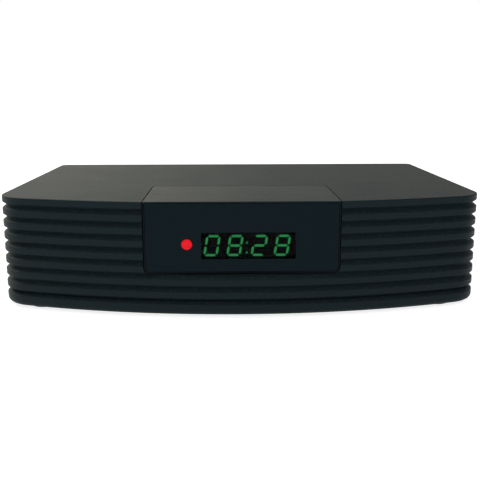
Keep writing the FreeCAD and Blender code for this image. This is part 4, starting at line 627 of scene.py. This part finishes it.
def plastic(slot, colour, rough, spread=0.08, depth=0.35, dust_and_top_light=0.0, smear=0.0, grain=2500.0, **sockets):
    """Moulded plastic with grain, smear marks, and a little dust with painted top light on faces that look
    up: its shader.
    """
    tree, surface = shader(slot, **sockets)
    grain_node = placed(tree, "grain", Rough=rough, Spread=spread, Depth=depth, Grain=grain)
    marks_and_top_light = placed(tree, "handling", Smear=smear, Dust=dust_and_top_light)
    led(surface, "Roughness", sum_of(tree, grain_node.outputs["Roughness"], marks_and_top_light.outputs["Mask"]))
    # Painted top light: the colour is lightened on faces that look up, partly dust and partly painted light
    # from above.
    dust_and_top_light_colour = opaque(0.5 * part + 0.09 for part in colour)
    led(surface, "Base Color", mixed(tree, marks_and_top_light.outputs["Dust"], opaque(colour), dust_and_top_light_colour))
    relief(tree, surface, grain_node.outputs["Height"], 0.25, 0.05 * MM)
    return surface


def lacquered(surface, colour):
    """Dark lacquer over the moulded face that frames the glossy panel."""
    tree = surface.id_data
    part = add(tree, "ShaderNodeSeparateXYZ", {0: object_place(tree)})
    face, top = HOOD_LOW.y, GLOSS_HIGH.z
    near = ramp(tree, part.outputs["Y"], face + 0.12 * MM, face + 0.2 * MM, 1.0, 0.0)
    under = ramp(tree, part.outputs["Z"], top, top + 0.05 * MM, 1.0, 0.0)
    bare = surface.inputs["Base Color"].links[0].from_socket
    share = sum_of(tree, near, under, "MULTIPLY")
    led(surface, "Base Color", mixed(tree, share, bare, opaque(colour)))


def metal(slot, colour, rough, lines=900.0):
    """Bare or plated metal with drawn lines."""
    tree, surface = shader(slot, Metallic=1.0)
    drawn = placed(tree, "drawn", Rough=rough, Spread=0.15, Lines=lines)
    led(surface, "Roughness", drawn.outputs["Roughness"])
    dark = opaque(0.7 * part for part in colour)
    led(surface, "Base Color", mixed(tree, drawn.outputs["Tone"], dark, opaque(colour)))
    relief(tree, surface, drawn.outputs["Height"], 0.08, 0.03 * MM)


def board_finish(slot):
    """Solder mask over copper tracks."""
    tree, surface = shader(slot)
    tracks = placed(tree, "tracks")
    grain_node = placed(tree, "grain", Rough=0.3, Spread=0.1, Depth=0.2)
    led(surface, "Roughness", grain_node.outputs["Roughness"])
    mask = opaque((0.006, 0.085, 0.03))
    copper = opaque((0.02, 0.16, 0.06))
    led(surface, "Base Color", mixed(tree, tracks.outputs["Mask"], copper, mask))
    relief(tree, surface, tracks.outputs["Mask"], 0.2, 0.04 * MM)


def glowing(slot, colour, strength, rough, base=0.3):
    """Lit plastic: its colour glows, under a surface with a faint grain."""
    surface = plastic(slot, [base * part for part in colour], rough, depth=0.1, Specular_IOR_Level=0.15)
    surface.inputs["Emission Color"].default_value = opaque(colour)
    surface.inputs["Emission Strength"].default_value = strength


def smoked(slot, share, rough):
    """Smoked clear plastic: a dark gloss that lets a share of the readout's light straight through."""
    dark = (0.001, 0.001, 0.002)
    surface = plastic(slot, dark, rough, spread=0.02, depth=0.0, Specular_IOR_Level=0.06)
    surface.inputs["Alpha"].default_value = 1 - share


def make_finishes(finish):
    """Every node group once, and one material for each slot of the record."""
    GROUPS.update(grain=grain_group(), handling=handling_group(), drawn=drawn_group(), tracks=track_group())
    case = tuple(finish.case)
    panel = tuple(finish.panel)
    for slot, rough in (("case_plastic", 0.5), ("hood_plastic", 0.44)):
        made = plastic(slot, case, rough, dust_and_top_light=0.35, smear=0.03, Specular_IOR_Level=0.1)
    lacquered(made, panel)
    sheen = {"Specular_IOR_Level": 0.12, "Specular_Tint": (0.5, 0.85, 1.0, 1.0)}
    plastic("panel_gloss", panel, 0.1, spread=0.03, depth=0.03, smear=0.05, **sheen)
    smoked("filter_glass", 0.72, 0.05)
    glowing("lamp_red", tuple(finish.lamp), 0.68, 0.22, base=0.6)
    glowing("segment_green", tuple(finish.readout), 1.1, 0.4)
    plastic("segment_dark", (0.0035, 0.005, 0.004), 0.6, Specular_IOR_Level=0.1)
    plastic("display_black", (0.0012, 0.0012, 0.0025), 0.7, Specular_IOR_Level=0.1)
    board_finish("circuit_board")
    plastic("chip_epoxy", (0.014, 0.014, 0.015), 0.6, depth=0.8)
    plastic("pad_soft", (0.35, 0.4, 0.45), 0.8, depth=1.0)
    metal("sink_aluminium", (0.55, 0.55, 0.56), 0.4, lines=1500.0)
    metal("can_aluminium", (0.6, 0.61, 0.62), 0.25)
    plastic("ferrite", (0.03, 0.03, 0.032), 0.7, depth=1.2)
    metal("tin_plate", (0.6, 0.6, 0.58), 0.32)
    metal("nickel", (0.62, 0.59, 0.54), 0.22, lines=1800.0)
    metal("brass_contact", (0.8, 0.58, 0.22), 0.25)
    plastic("white_nylon", (0.68, 0.68, 0.65), 0.45)
    plastic("socket_plastic", (0.013, 0.013, 0.014), 0.4, depth=0.5)
    plastic("rear_steel", (0.02, 0.02, 0.021), 0.5, depth=1.3, grain=1400.0, dust_and_top_light=0.2)
    plastic("foot_rubber", (0.013, 0.013, 0.013), 0.8, depth=1.2, dust_and_top_light=0.4)
    metal("screw_steel", (0.34, 0.34, 0.35), 0.3)
    plastic("rocker_gloss", (0.012, 0.012, 0.013), 0.2, depth=0.1)
    plastic("lead_sleeve", (0.35, 0.015, 0.015), 0.35)
    plastic("ribbon_grey", (0.33, 0.34, 0.35), 0.5)


# Pieces


class RECEIVER_OT_cover(Operator):
    """Ribbed wall and deck in one shell, open below, with the notch for the hood"""

    bl_idname = "receiver.cover"
    bl_label = "Cover"

    def execute(self, context):
        case = context.scene.receiver_case
        under = DECK - case.deck_thick
        line = [(case.inner + 0.1 * MM, DECK), (0, DECK)]
        radii = [0, case.deck_round]
        for height in groove_heights(case)[:0:-1]:
            corners, rounds = groove_line(case, height)
            line += corners
            radii += rounds
        corners, rounds = groove_line(case, SPLIT)
        line += [corners[0], (case.groove_depth, SPLIT), (case.inner, SPLIT), (case.inner, under)]
        radii += [rounds[0], 0, 0, 0]
        shell = new_object("cover_shell", carried(case_plan(case), rounded_line(line, radii)))
        half = HOOD_HIGH.x + case.seam
        corner = 2.5 * MM + case.seam
        clear = 9 * MM
        end = HOOD_HIGH.y + case.seam
        deck_cut = rounded_rectangle(-half, half, FRONT - clear, end, (0, 0, corner, corner))
        foot = GLOSS_LOW.z - HOOD_RIM - case.seam
        wall_cut = rounded_rectangle(-half, half, foot, DECK + clear, (corner, corner, 0, 0))
        hood_room = 8.5 * MM
        rebate = 2.2 * MM
        inside = SIDE - case.inner
        window = inside - rebate
        past = SPLIT - PAST
        panel_y = BACK - case.lip
        carved(
            shell,
            [
                prism(deck_cut, under - PAST, DECK + PAST),
                prism(wall_cut, FRONT - clear, HOOD_LOW.y + hood_room, "xz"),
                box_form(-inside, inside, panel_y - PANEL_ROOM, panel_y, past, under),
                box_form(-window, window, panel_y - PAST, BACK + PAST, past, under - rebate),
            ],
        )
        softened(shell, 0.35 * MM)
        finished(shell, "top_cover")
        return {"FINISHED"}


class RECEIVER_OT_base(Operator):
    """Floor and low wall in one shell, with its vents and the wells of the case screws"""

    bl_idname = "receiver.base"
    bl_label = "Base"

    def execute(self, context):
        case = context.scene.receiver_case
        _, foot_corner, nose_corner = groove_line(case, SPLIT)[0]
        floor = UNDERSIDE + 2.2 * MM
        inner = case.inner + 1.4 * MM
        tongue = case.inner + 0.2 * MM
        top = SPLIT + 2.0 * MM
        line = [(inner, UNDERSIDE), (0, UNDERSIDE), nose_corner, foot_corner, (tongue, SPLIT)]
        line += [(tongue, top), (inner, top), (inner, floor)]
        radii = [0, case.base_round, case.nose_round, 0, 0, 0, 0, 0]
        shell = new_object("base_shell", carried(case_plan(case), rounded_line(line, radii)))
        panel_y = BACK - case.lip
        inside = SIDE - case.inner
        cuts = [
            box_form(-inside, inside, panel_y - PANEL_ROOM, panel_y, floor, top + PAST),
            box_form(-SIDE, SIDE, BACK - 7 * MM, BACK + PAST, SPLIT, top + PAST),
        ]
        low, high = UNDERSIDE - PAST, floor + PAST
        well = [(3.2 * MM, low), (3.2 * MM, UNDERSIDE + 1.9 * MM)]
        wide, long, pitch = 1.2 * MM, 13 * MM, 9 * MM
        holes = []
        for row in (-17, 17):
            for column in range(-4, 5):
                x = column * pitch
                y = FRONT + (84 + row) * MM
                vent = rounded_rectangle(x - wide, x + wide, y - long, y + long, [1.19 * MM] * 4, steps=5)
                holes.append(prism(vent, low, high))
        holes += [turned(well, (x, y, 0)) for x, y in CASE_SCREWS]
        carved(shell, cuts + [joined(holes)])
        finished(shell, "bottom_case")
        return {"FINISHED"}


class RECEIVER_OT_feet(Operator):
    """Four soft round feet with a hollow sole and rounded rims"""

    bl_idname = "receiver.feet"
    bl_label = "Feet"

    def execute(self, context):
        low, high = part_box("rubber_feet")
        radius = 6.65 * MM
        hollow = 0.35 * MM
        line = [(CORE, hollow), (4.4 * MM, hollow), (4.75 * MM, 0), (radius, 0)]
        line += [(radius, high.z), (CORE, high.z)]
        profile = rounded_line(line, MM * np.array([0, 0.15, 0.12, 0.5, 0, 0]))
        across = (low.x + radius, high.x - radius)
        along = (low.y + radius, high.y - radius)
        dressed("rubber_feet", "soft_feet", *[turned(profile, (x, y, 0)) for x in across for y in along])
        return {"FINISHED"}


class RECEIVER_OT_screws(Operator):
    """Pan-head screws with a cross recess and a helical thread"""

    bl_idname = "receiver.screws"
    bl_label = "Screws"

    def execute(self, context):
        self.upright("case_screws", "case_fasteners", CASE_SCREWS, 2.8 * MM, 1.4 * MM, 2.0 * MM, up=True)
        self.upright("hood_screws", "hood_fasteners", HOOD_SCREWS, 4.5 * MM, 1.4 * MM, 1.8 * MM, up=True)
        self.upright("board_screws", "board_fasteners", BOARD_SCREWS, 2.7 * MM, 1.2 * MM, 1.7 * MM, up=False)
        low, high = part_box("display_board_screws")
        head = (high.z - low.z) / 2
        places = [(x, high.y, (low.z + high.z) / 2) for x in (low.x + head, high.x - head)]
        reach = low.y - high.y
        forms = [screw_form(at, head, 0.9 * MM, -1.4 * MM, reach, "y") for at in places]
        dressed("display_board_screws", "display_fasteners", *forms)
        return {"FINISHED"}

    def upright(self, node, name, places, head, shank, dust_and_top_light_share, up):
        """Screws of a node that stand on end: radii of head and shank, the head's height, and the way."""
        low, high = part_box(node)
        start, way = (low.z, 1) if up else (high.z, -1)
        reach = way * (high.z - low.z)
        forms = [screw_form((x, y, start), head, shank, way * dust_and_top_light_share, reach) for x, y in places]
        dressed(node, name, *forms)


class RECEIVER_OT_aerial(Operator):
    """Aerial sockets with a helical thread, their cores, and chamfered hexagon nuts"""

    bl_idname = "receiver.aerial"
    bl_label = "Aerial sockets"

    def execute(self, context):
        low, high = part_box("lnb_sockets")
        nut_low, nut_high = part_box("lnb_nuts")
        core_low, core_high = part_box("lnb_insulators")
        collar = (high.z - low.z) / 2
        bore = (core_high.z - core_low.z) / 2
        barrel = 4.75 * MM
        middle = (low.z + high.z) / 2
        places = [(x, 0, middle) for x in (low.x + collar, high.x - collar)]
        rows = self.socket(low.y, high.y, nut_high.y, collar, barrel, bore)
        dressed("lnb_sockets", "aerial_barrels", *[lathe(*rows, at, "y", False) for at in places])
        rows = self.nut(nut_low.y, nut_high.y, collar, barrel)
        dressed("lnb_nuts", "aerial_nuts", *[lathe(*rows, at, "y", False) for at in places])
        hole = 0.6 * MM
        start, end = core_low.y, core_high.y
        lip = end + 0.4 * MM
        floor = end - 6 * MM
        line = [(CORE, start), (bore, start), (bore, end), (2.1 * MM, end), (1.8 * MM, lip), (1.0 * MM, lip)]
        line += [(hole, end), (hole, floor), (CORE, floor)]
        dressed("lnb_insulators", "aerial_cores", *[turned(line, at, "y", 32) for at in places])
        return {"FINISHED"}

    def socket(self, back, end, nut_end, collar, barrel, bore):
        """Barrel: rings of the collar and the ends joined by rows of thread, and back along the bore."""
        depth = 0.45 * MM
        cut = thread(barrel, depth, 0.8 * MM, nut_end + 0.2 * MM, end - 0.5 * MM)
        shoulder = back + 2.3 * MM
        first = [(bore, back), (collar, back), (collar, shoulder), (barrel, shoulder), (barrel, nut_end)]
        last = [(barrel - depth, end), (bore, end), (bore, back)]
        return stacked(rings(first), cut, rings(last))

    def nut(self, start, end, half, hole):
        """Nut: a hexagon's radius at each angle, cut back to a circle at both faces, round a hole."""
        hexagon = half / np.cos(round_angles() % (math.pi / 3) - math.pi / 6)
        ring = np.minimum(hexagon, 1.04 * half)
        bevel = 0.45 * MM
        bore = hole + 0.1 * MM
        rows = [(bore, start), (ring, start), (hexagon, start + bevel), (hexagon, end - bevel)]
        return rings(rows + [(ring, end), (bore, end), (bore, start)])


class RECEIVER_OT_lamp(Operator):
    """Standby lamp with a fine ring round its face, the light source behind it, and the remote eye"""

    bl_idname = "receiver.lamp"
    bl_label = "Lamp and remote eye"

    def execute(self, context):
        middle = (LAMP_LOW + LAMP_HIGH) / 2
        flange = (LAMP_HIGH.z - LAMP_LOW.z) / 2
        radius = flange - 0.8 * MM
        front = LAMP_LOW.y
        back = GLOSS_HIGH.y
        ring = radius - 0.5 * MM
        step = back + 1.0 * MM
        line = [(CORE, front + 0.06 * MM), (ring - 0.15 * MM, front + 0.04 * MM), (ring, front + 0.16 * MM)]
        line += [(ring + 0.15 * MM, front), (radius, front), (radius, back), (flange, back), (flange, step)]
        line += [(radius, step), (radius, LAMP_HIGH.y), (CORE, LAMP_HIGH.y)]
        profile = rounded_line(line, MM * np.array([0, 0.1, 0.06, 0.08, 0.14, 0, 0.1, 0.1, 0, 0.1, 0]))
        dressed("standby_lamp", "lamp_face", turned(profile, (middle.x, 0, middle.z), "y"))
        low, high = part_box("standby_led")
        wide = (high.z - low.z) / 2
        slim = wide - 0.4 * MM
        collar = high.y - 1.0 * MM
        line = [(CORE, low.y), (slim, low.y), (slim, collar), (wide, collar), (wide, high.y), (CORE, high.y)]
        profile = rounded_line(line, MM * np.array([0, 1.2, 0, 0.1, 0, 0]), 6)
        dressed("standby_led", "lamp_source", turned(profile, (middle.x, 0, middle.z), "y", 32))
        low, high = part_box("ir_receiver")
        middle = (low + high) / 2
        face = low.y + 1.2 * MM
        plan = rounded_rectangle(low.x, high.x, low.z, high.z, [0.4 * MM] * 4, 3)
        dome = 2.0 * MM
        angle = np.linspace(0, math.pi / 2, 8)
        profile = np.stack((dome * np.sin(angle) + CORE, face - (face - low.y) * np.cos(angle)), 1)
        lens = turned([*profile, (dome, face + 0.3 * MM)], (middle.x, 0, middle.z), "y", 32)
        dressed("ir_receiver", "remote_eye", prism(plan, face, high.y, "xz"), lens)
        return {"FINISHED"}


class RECEIVER_OT_readout(Operator):
    """Lit bars of the readout: long hexagons that lean, and the two dots of the colon"""

    bl_idname = "receiver.readout"
    bl_label = "Readout"

    def execute(self, context):
        low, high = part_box("lit_segments")
        digits = context.scene.receiver_readout
        lean = math.tan(digits.lean)
        wide, tall, inset = digits.width, digits.height, 0.6 * MM
        columns = (inset, wide - inset)
        levels = (inset, tall / 2, tall - inset)
        ends = {"g": (0, 1, 1, 1), "a": (0, 2, 1, 2), "d": (0, 0, 1, 0)}
        ends |= {"b": (1, 1, 1, 2), "c": (1, 0, 1, 1), "e": (0, 0, 0, 1), "f": (0, 1, 0, 2)}
        forms = []
        for index, lit in enumerate(("abcdef", "abcdefg", "abged", "abcdefg")):
            left = digits.left + index * digits.pitch + (digits.colon_room if index > 1 else 0)
            for bar in lit:
                start_x, start_z, end_x, end_z = ends[bar]
                start = np.array((columns[start_x], levels[start_z]))
                end = np.array((columns[end_x], levels[end_z]))
                forms.append((left, self.bar(start, end, digits.stroke, digits.gap)))
        left = digits.left + (3 * digits.pitch + digits.colon_room + wide) / 2
        middle = tall / 2 - 0.9 * MM
        half = 0.36 * MM
        for side in (-1, 1):
            at = middle + side * 2.15 * MM
            square = rounded_rectangle(-half, half, at - half, at + half, [0] * 4)
            square[:, 0] -= lean * at - lean * middle
            forms.append((left, square))
        foot = (low.z + high.z - tall) / 2 - 0.4 * MM
        made = []
        for left, flat in forms:
            across = left + flat[:, 0] + lean * flat[:, 1]
            made.append(prism(np.stack((across, foot + flat[:, 1]), 1), low.y, high.y, "xz"))
        dressed("lit_segments", "lit_bars", *made)
        return {"FINISHED"}

    def bar(self, start, end, stroke, gap):
        """Hexagon along a line: drawn in at both ends by the gap, pointed by half its breadth."""
        way = (end - start) / np.linalg.norm(end - start)
        aside = np.array((-way[1], way[0])) * stroke / 2
        tip = way * stroke / 2
        start = start + way * gap
        end = end - way * gap
        near, far = start + tip, end - tip
        return np.array((start, near - aside, far - aside, end, far + aside, near + aside))


class RECEIVER_OT_board_parts(Operator):
    """Upright capacitors with a bead and a crimped crown, and the power pin"""

    bl_idname = "receiver.board_parts"
    bl_label = "Turned board parts"

    def execute(self, context):
        low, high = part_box("electrolytic_caps")
        radius = 4.0 * MM
        foot, top = low.z, high.z
        bead = foot + 2.0 * MM
        crown = top - 0.2 * MM
        line = [(CORE, foot), (radius - 0.25 * MM, foot), (radius, foot + 0.4 * MM), (radius, bead)]
        line += [(radius - 0.45 * MM, bead + 0.5 * MM), (radius, bead + 1.0 * MM), (radius, top)]
        line += [(radius - 0.9 * MM, top), (radius - 1.05 * MM, crown), (CORE, crown)]
        profile = rounded_line(line, MM * np.array([0, 0.1, 0.1, 0.2, 0.3, 0.2, 0.4, 0.1, 0.1, 0]))
        spots = ((-0.67, 92.0), (-0.56, 92.0), (-0.67, 76.0), (-0.37, 66.0))
        cans = [turned(profile, (share * SIDE, FRONT + behind * MM, 0), count=40) for share, behind in spots]
        dressed("electrolytic_caps", "upright_cans", *cans)
        low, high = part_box("dc_pin")
        middle = (low + high) / 2
        radius = (high.z - low.z) / 2
        line = [(CORE, low.y), (radius, low.y), (radius, high.y), (CORE, high.y)]
        profile = rounded_line(line, MM * np.array([0, 0.1, 0.6, 0]), 5)
        dressed("dc_pin", "power_pin", turned(profile, (middle.x, 0, middle.z), "y", 24))
        return {"FINISHED"}


# Name and edge width, in millimetres, of each piece that is a softened copy of its CAD node
REFINED = {
    "display_hood": ("hood", 0.12),
    "front_panel": ("gloss_panel", 0.12),
    "display_filter": ("smoked_window", 0.05),
    "rear_panel": ("socket_panel", 0.15),
    "hdmi_shell": ("video_sleeve", 0.1),
    "hdmi_tongue": ("video_tongue", 0.1),
    "usb_shell": ("data_sleeve", 0.1),
    "usb_tongue": ("data_tongue", 0.1),
    "ethernet_jack": ("network_socket", 0.2),
    "ethernet_contacts": ("network_springs", 0.05),
    "av_jack": ("sound_socket", 0.2),
    "optical_socket": ("light_socket", 0.2),
    "dc_jack": ("power_socket", 0.25),
    "power_switch_frame": ("switch_frame", 0.3),
    "switch_blades": ("switch_blades_finished", 0.1),
    "lead_header": ("lead_header_finished", 0.2),
    "heat_sink": ("finned_sink", 0.2),
    "soc_chip": ("main_chip", 0.2),
    "memory_chips": ("memory_pair", 0.15),
    "thermal_pad": ("soft_pad", 0.1),
    "power_inductors": ("coil_blocks", 0.6),
    "ethernet_transformer": ("coil_case", 0.3),
    "cable_headers": ("ribbon_headers", 0.2),
    "crystal": ("clock_can", 0.3),
    "tuner_can": ("tuner_frame", 0.1),
    "tuner_lid": ("tuner_cap", 0.15),
    "main_board": ("main_board_finished", 0.1),
    "display_board": ("display_board_finished", 0.1),
    "display_module": ("display_block", 0.25),
    "ribbon_cable": ("ribbon", 0.2),
    "switch_leads": ("switch_wires", 0.1),
    "power_rocker": ("rocker", 0.35),
    "optical_shutter": ("light_shutter", 0.1),
}
BODIES = {"power_rocker": "rocker", "optical_shutter": "shutter"}


class RECEIVER_OT_moulded(Operator):
    """Pieces whose CAD form is true, with their edges softened"""

    bl_idname = "receiver.moulded"
    bl_label = "Moulded and formed pieces"

    def execute(self, context):
        for node, (name, width) in REFINED.items():
            refined(node, name, width * MM, BODIES.get(node, "root"))
        return {"FINISHED"}


class RECEIVER_OT_stage(Operator):
    """Pale floor, surroundings, soft lamps and the camera at the photograph's angle"""

    bl_idname = "receiver.stage"
    bl_label = "Stage"

    def execute(self, context):
        stage = context.scene.receiver_stage
        half = 3.0
        corners = np.array([[(-half, -half, 0), (half, -half, 0)], [(-half, half, 0), (half, half, 0)]])
        floor = new_object("floor", grid_form(corners, capped=False, wrapped=False))
        paint_floor(floor)
        surroundings(stage.sky)
        soft_lamp("key", (-0.6, 0.25, 0.85), (0, 0, 0.02), 0.7, 0.7, stage.key, (1.0, 0.95, 0.82))
        soft_lamp("fill", (0.1, -0.9, 0.8), (0, 0, 0.03), 1.2, 0.4, stage.fill, (1.0, 1.0, 1.0))
        set_camera(stage.lens)
        context.scene.view_settings.view_transform = "Standard"
        return {"FINISHED"}


def paint_floor(floor):
    """White floor that keeps the shadow: lit paint, with a little of its own light for the camera."""
    own_light = 0.84
    grey = opaque((0.75, 0.75, 0.75))
    tree, surface = shader("floor", Base_Color=grey, Roughness=1.0, Specular_IOR_Level=0.0)
    path = add(tree, "ShaderNodeLightPath")
    glow = add(tree, "ShaderNodeEmission", {"Color": (1, 1, 1, 1)})
    seen = sum_of(tree, path.outputs["Is Camera Ray"], path.outputs["Is Glossy Ray"])
    seen = sum_of(tree, seen, path.outputs["Is Transmission Ray"])
    led(glow, "Strength", sum_of(tree, seen, own_light, "MULTIPLY"))
    both = add(tree, "ShaderNodeAddShader", {0: surface.outputs[0], 1: glow.outputs[0]})
    led(tree.nodes["Material Output"], "Surface", both.outputs[0])
    floor.data.materials.append(FINISHES["floor"])


def surroundings(strength):
    """World: white where it is seen, plain where it lights, and warm where it is reflected.

    Reflections are brightest ahead of the camera and to its left.
    """
    world = bpy.data.worlds.new("surroundings")
    bpy.context.scene.world = world
    world.use_nodes = True
    tree = world.node_tree
    path = add(tree, "ShaderNodeLightPath")
    toward = add(tree, "ShaderNodeTexCoord").outputs["Generated"]
    part = add(tree, "ShaderNodeSeparateXYZ", {0: toward})
    ahead = ramp(tree, part.outputs["Y"], -0.2, 0.5, 0.35, 1.0)
    aside = ramp(tree, part.outputs["X"], -0.25, 0.12, 1.2, 0.5, interpolation_type="SMOOTHSTEP")
    level = sum_of(tree, ahead, aside, "MULTIPLY")
    seen = sum_of(tree, path.outputs["Is Camera Ray"], path.outputs["Is Transmission Ray"], "MAXIMUM")
    reflected = path.outputs["Is Glossy Ray"]
    shown = sum_of(tree, seen, sum_of(tree, reflected, level, "MULTIPLY"), "MAXIMUM")
    background = tree.nodes["Background"]
    led(background, "Color", mixed(tree, reflected, opaque((1, 1, 1)), opaque((1.0, 0.95, 0.83))))
    led(background, "Strength", sum_of(tree, shown, strength, "MAXIMUM"))


def soft_lamp(name, place, target, wide, tall, power, colour):
    """Rectangular area lamp aimed at a point."""
    lamp = bpy.data.lights.new(name, "AREA")
    lamp.energy = power
    lamp.color = colour
    lamp.shape = "RECTANGLE"
    lamp.size = wide
    lamp.size_y = tall
    holder = linked(name, lamp)
    holder.location = place
    aim = Vector(target) - Vector(place)
    holder.rotation_euler = aim.to_track_quat("-Z", "Y").to_euler()


CAMERA_X = -6.59 * MM
CAMERA_AHEAD = 295.03 * MM  # in front of the bow
CAMERA_Z = 97.23 * MM
CAMERA_YAW = 1.099
CAMERA_PITCH = 11.958
CAMERA_ROLL = -0.091


def set_camera(lens):
    """Camera in front of the bow, turned, pitched down and rolled by the photograph's angles."""
    camera = bpy.data.cameras.new("camera")
    camera.lens = lens
    camera.sensor_width = 36
    camera.sensor_fit = "HORIZONTAL"
    camera.clip_start = 0.01
    holder = linked("camera", camera)
    yaw, pitch, roll = [math.radians(angle) for angle in (CAMERA_YAW, CAMERA_PITCH, CAMERA_ROLL)]
    ahead = Vector((math.sin(yaw) * math.cos(pitch), math.cos(yaw) * math.cos(pitch), -math.sin(pitch)))
    level = Vector((math.cos(yaw), -math.sin(yaw), 0))
    upright = level.cross(ahead)
    right = level * math.cos(roll) + upright * math.sin(roll)
    up = upright * math.cos(roll) - level * math.sin(roll)
    turn = Matrix((right, up, -ahead)).transposed().to_4x4()
    holder.matrix_world = Matrix.Translation((CAMERA_X, FRONT - CAMERA_AHEAD, CAMERA_Z)) @ turn
    bpy.context.scene.camera = holder


class RECEIVER_PT_sidebar(Panel):
    """Settings and the operators in their order"""

    bl_idname = "RECEIVER_PT_sidebar"
    bl_label = "Receiver"
    bl_space_type = "VIEW_3D"
    bl_region_type = "UI"
    bl_category = "Receiver"

    def draw(self, context):
        scene = context.scene
        for name in SETTINGS:
            settings = getattr(scene, name)
            box = self.layout.box()
            for key in settings.__annotations__:
                box.prop(settings, key)
        for operator in OPERATORS:
            self.layout.operator(operator.bl_idname)


OPERATORS = (
    RECEIVER_OT_stage,
    RECEIVER_OT_cover,
    RECEIVER_OT_base,
    RECEIVER_OT_feet,
    RECEIVER_OT_screws,
    RECEIVER_OT_aerial,
    RECEIVER_OT_lamp,
    RECEIVER_OT_readout,
    RECEIVER_OT_board_parts,
    RECEIVER_OT_moulded,
)
SETTINGS = {
    "receiver_case": ReceiverCase,
    "receiver_finish": ReceiverFinish,
    "receiver_stage": ReceiverStage,
    "receiver_readout": ReceiverReadout,
}


def register():
    for kind in (*SETTINGS.values(), *OPERATORS, RECEIVER_PT_sidebar):
        bpy.utils.register_class(kind)
    for name, kind in SETTINGS.items():
        setattr(bpy.types.Scene, name, PointerProperty(type=kind))


def unregister():
    for name in SETTINGS:
        delattr(bpy.types.Scene, name)
    for kind in (RECEIVER_PT_sidebar, *reversed(OPERATORS), *SETTINGS.values()):
        bpy.utils.unregister_class(kind)


def main():
    register()
    make_finishes(bpy.context.scene.receiver_finish)
    for node, piece in frame["nodes"].items():
        piece.data.materials.clear()
        piece.data.materials.append(FINISHES[SLOTS[node]])
    for operator in OPERATORS:
        group, name = operator.bl_idname.split(".")
        getattr(getattr(bpy.ops, group), name)()


if __name__ == "__main__":
    main()
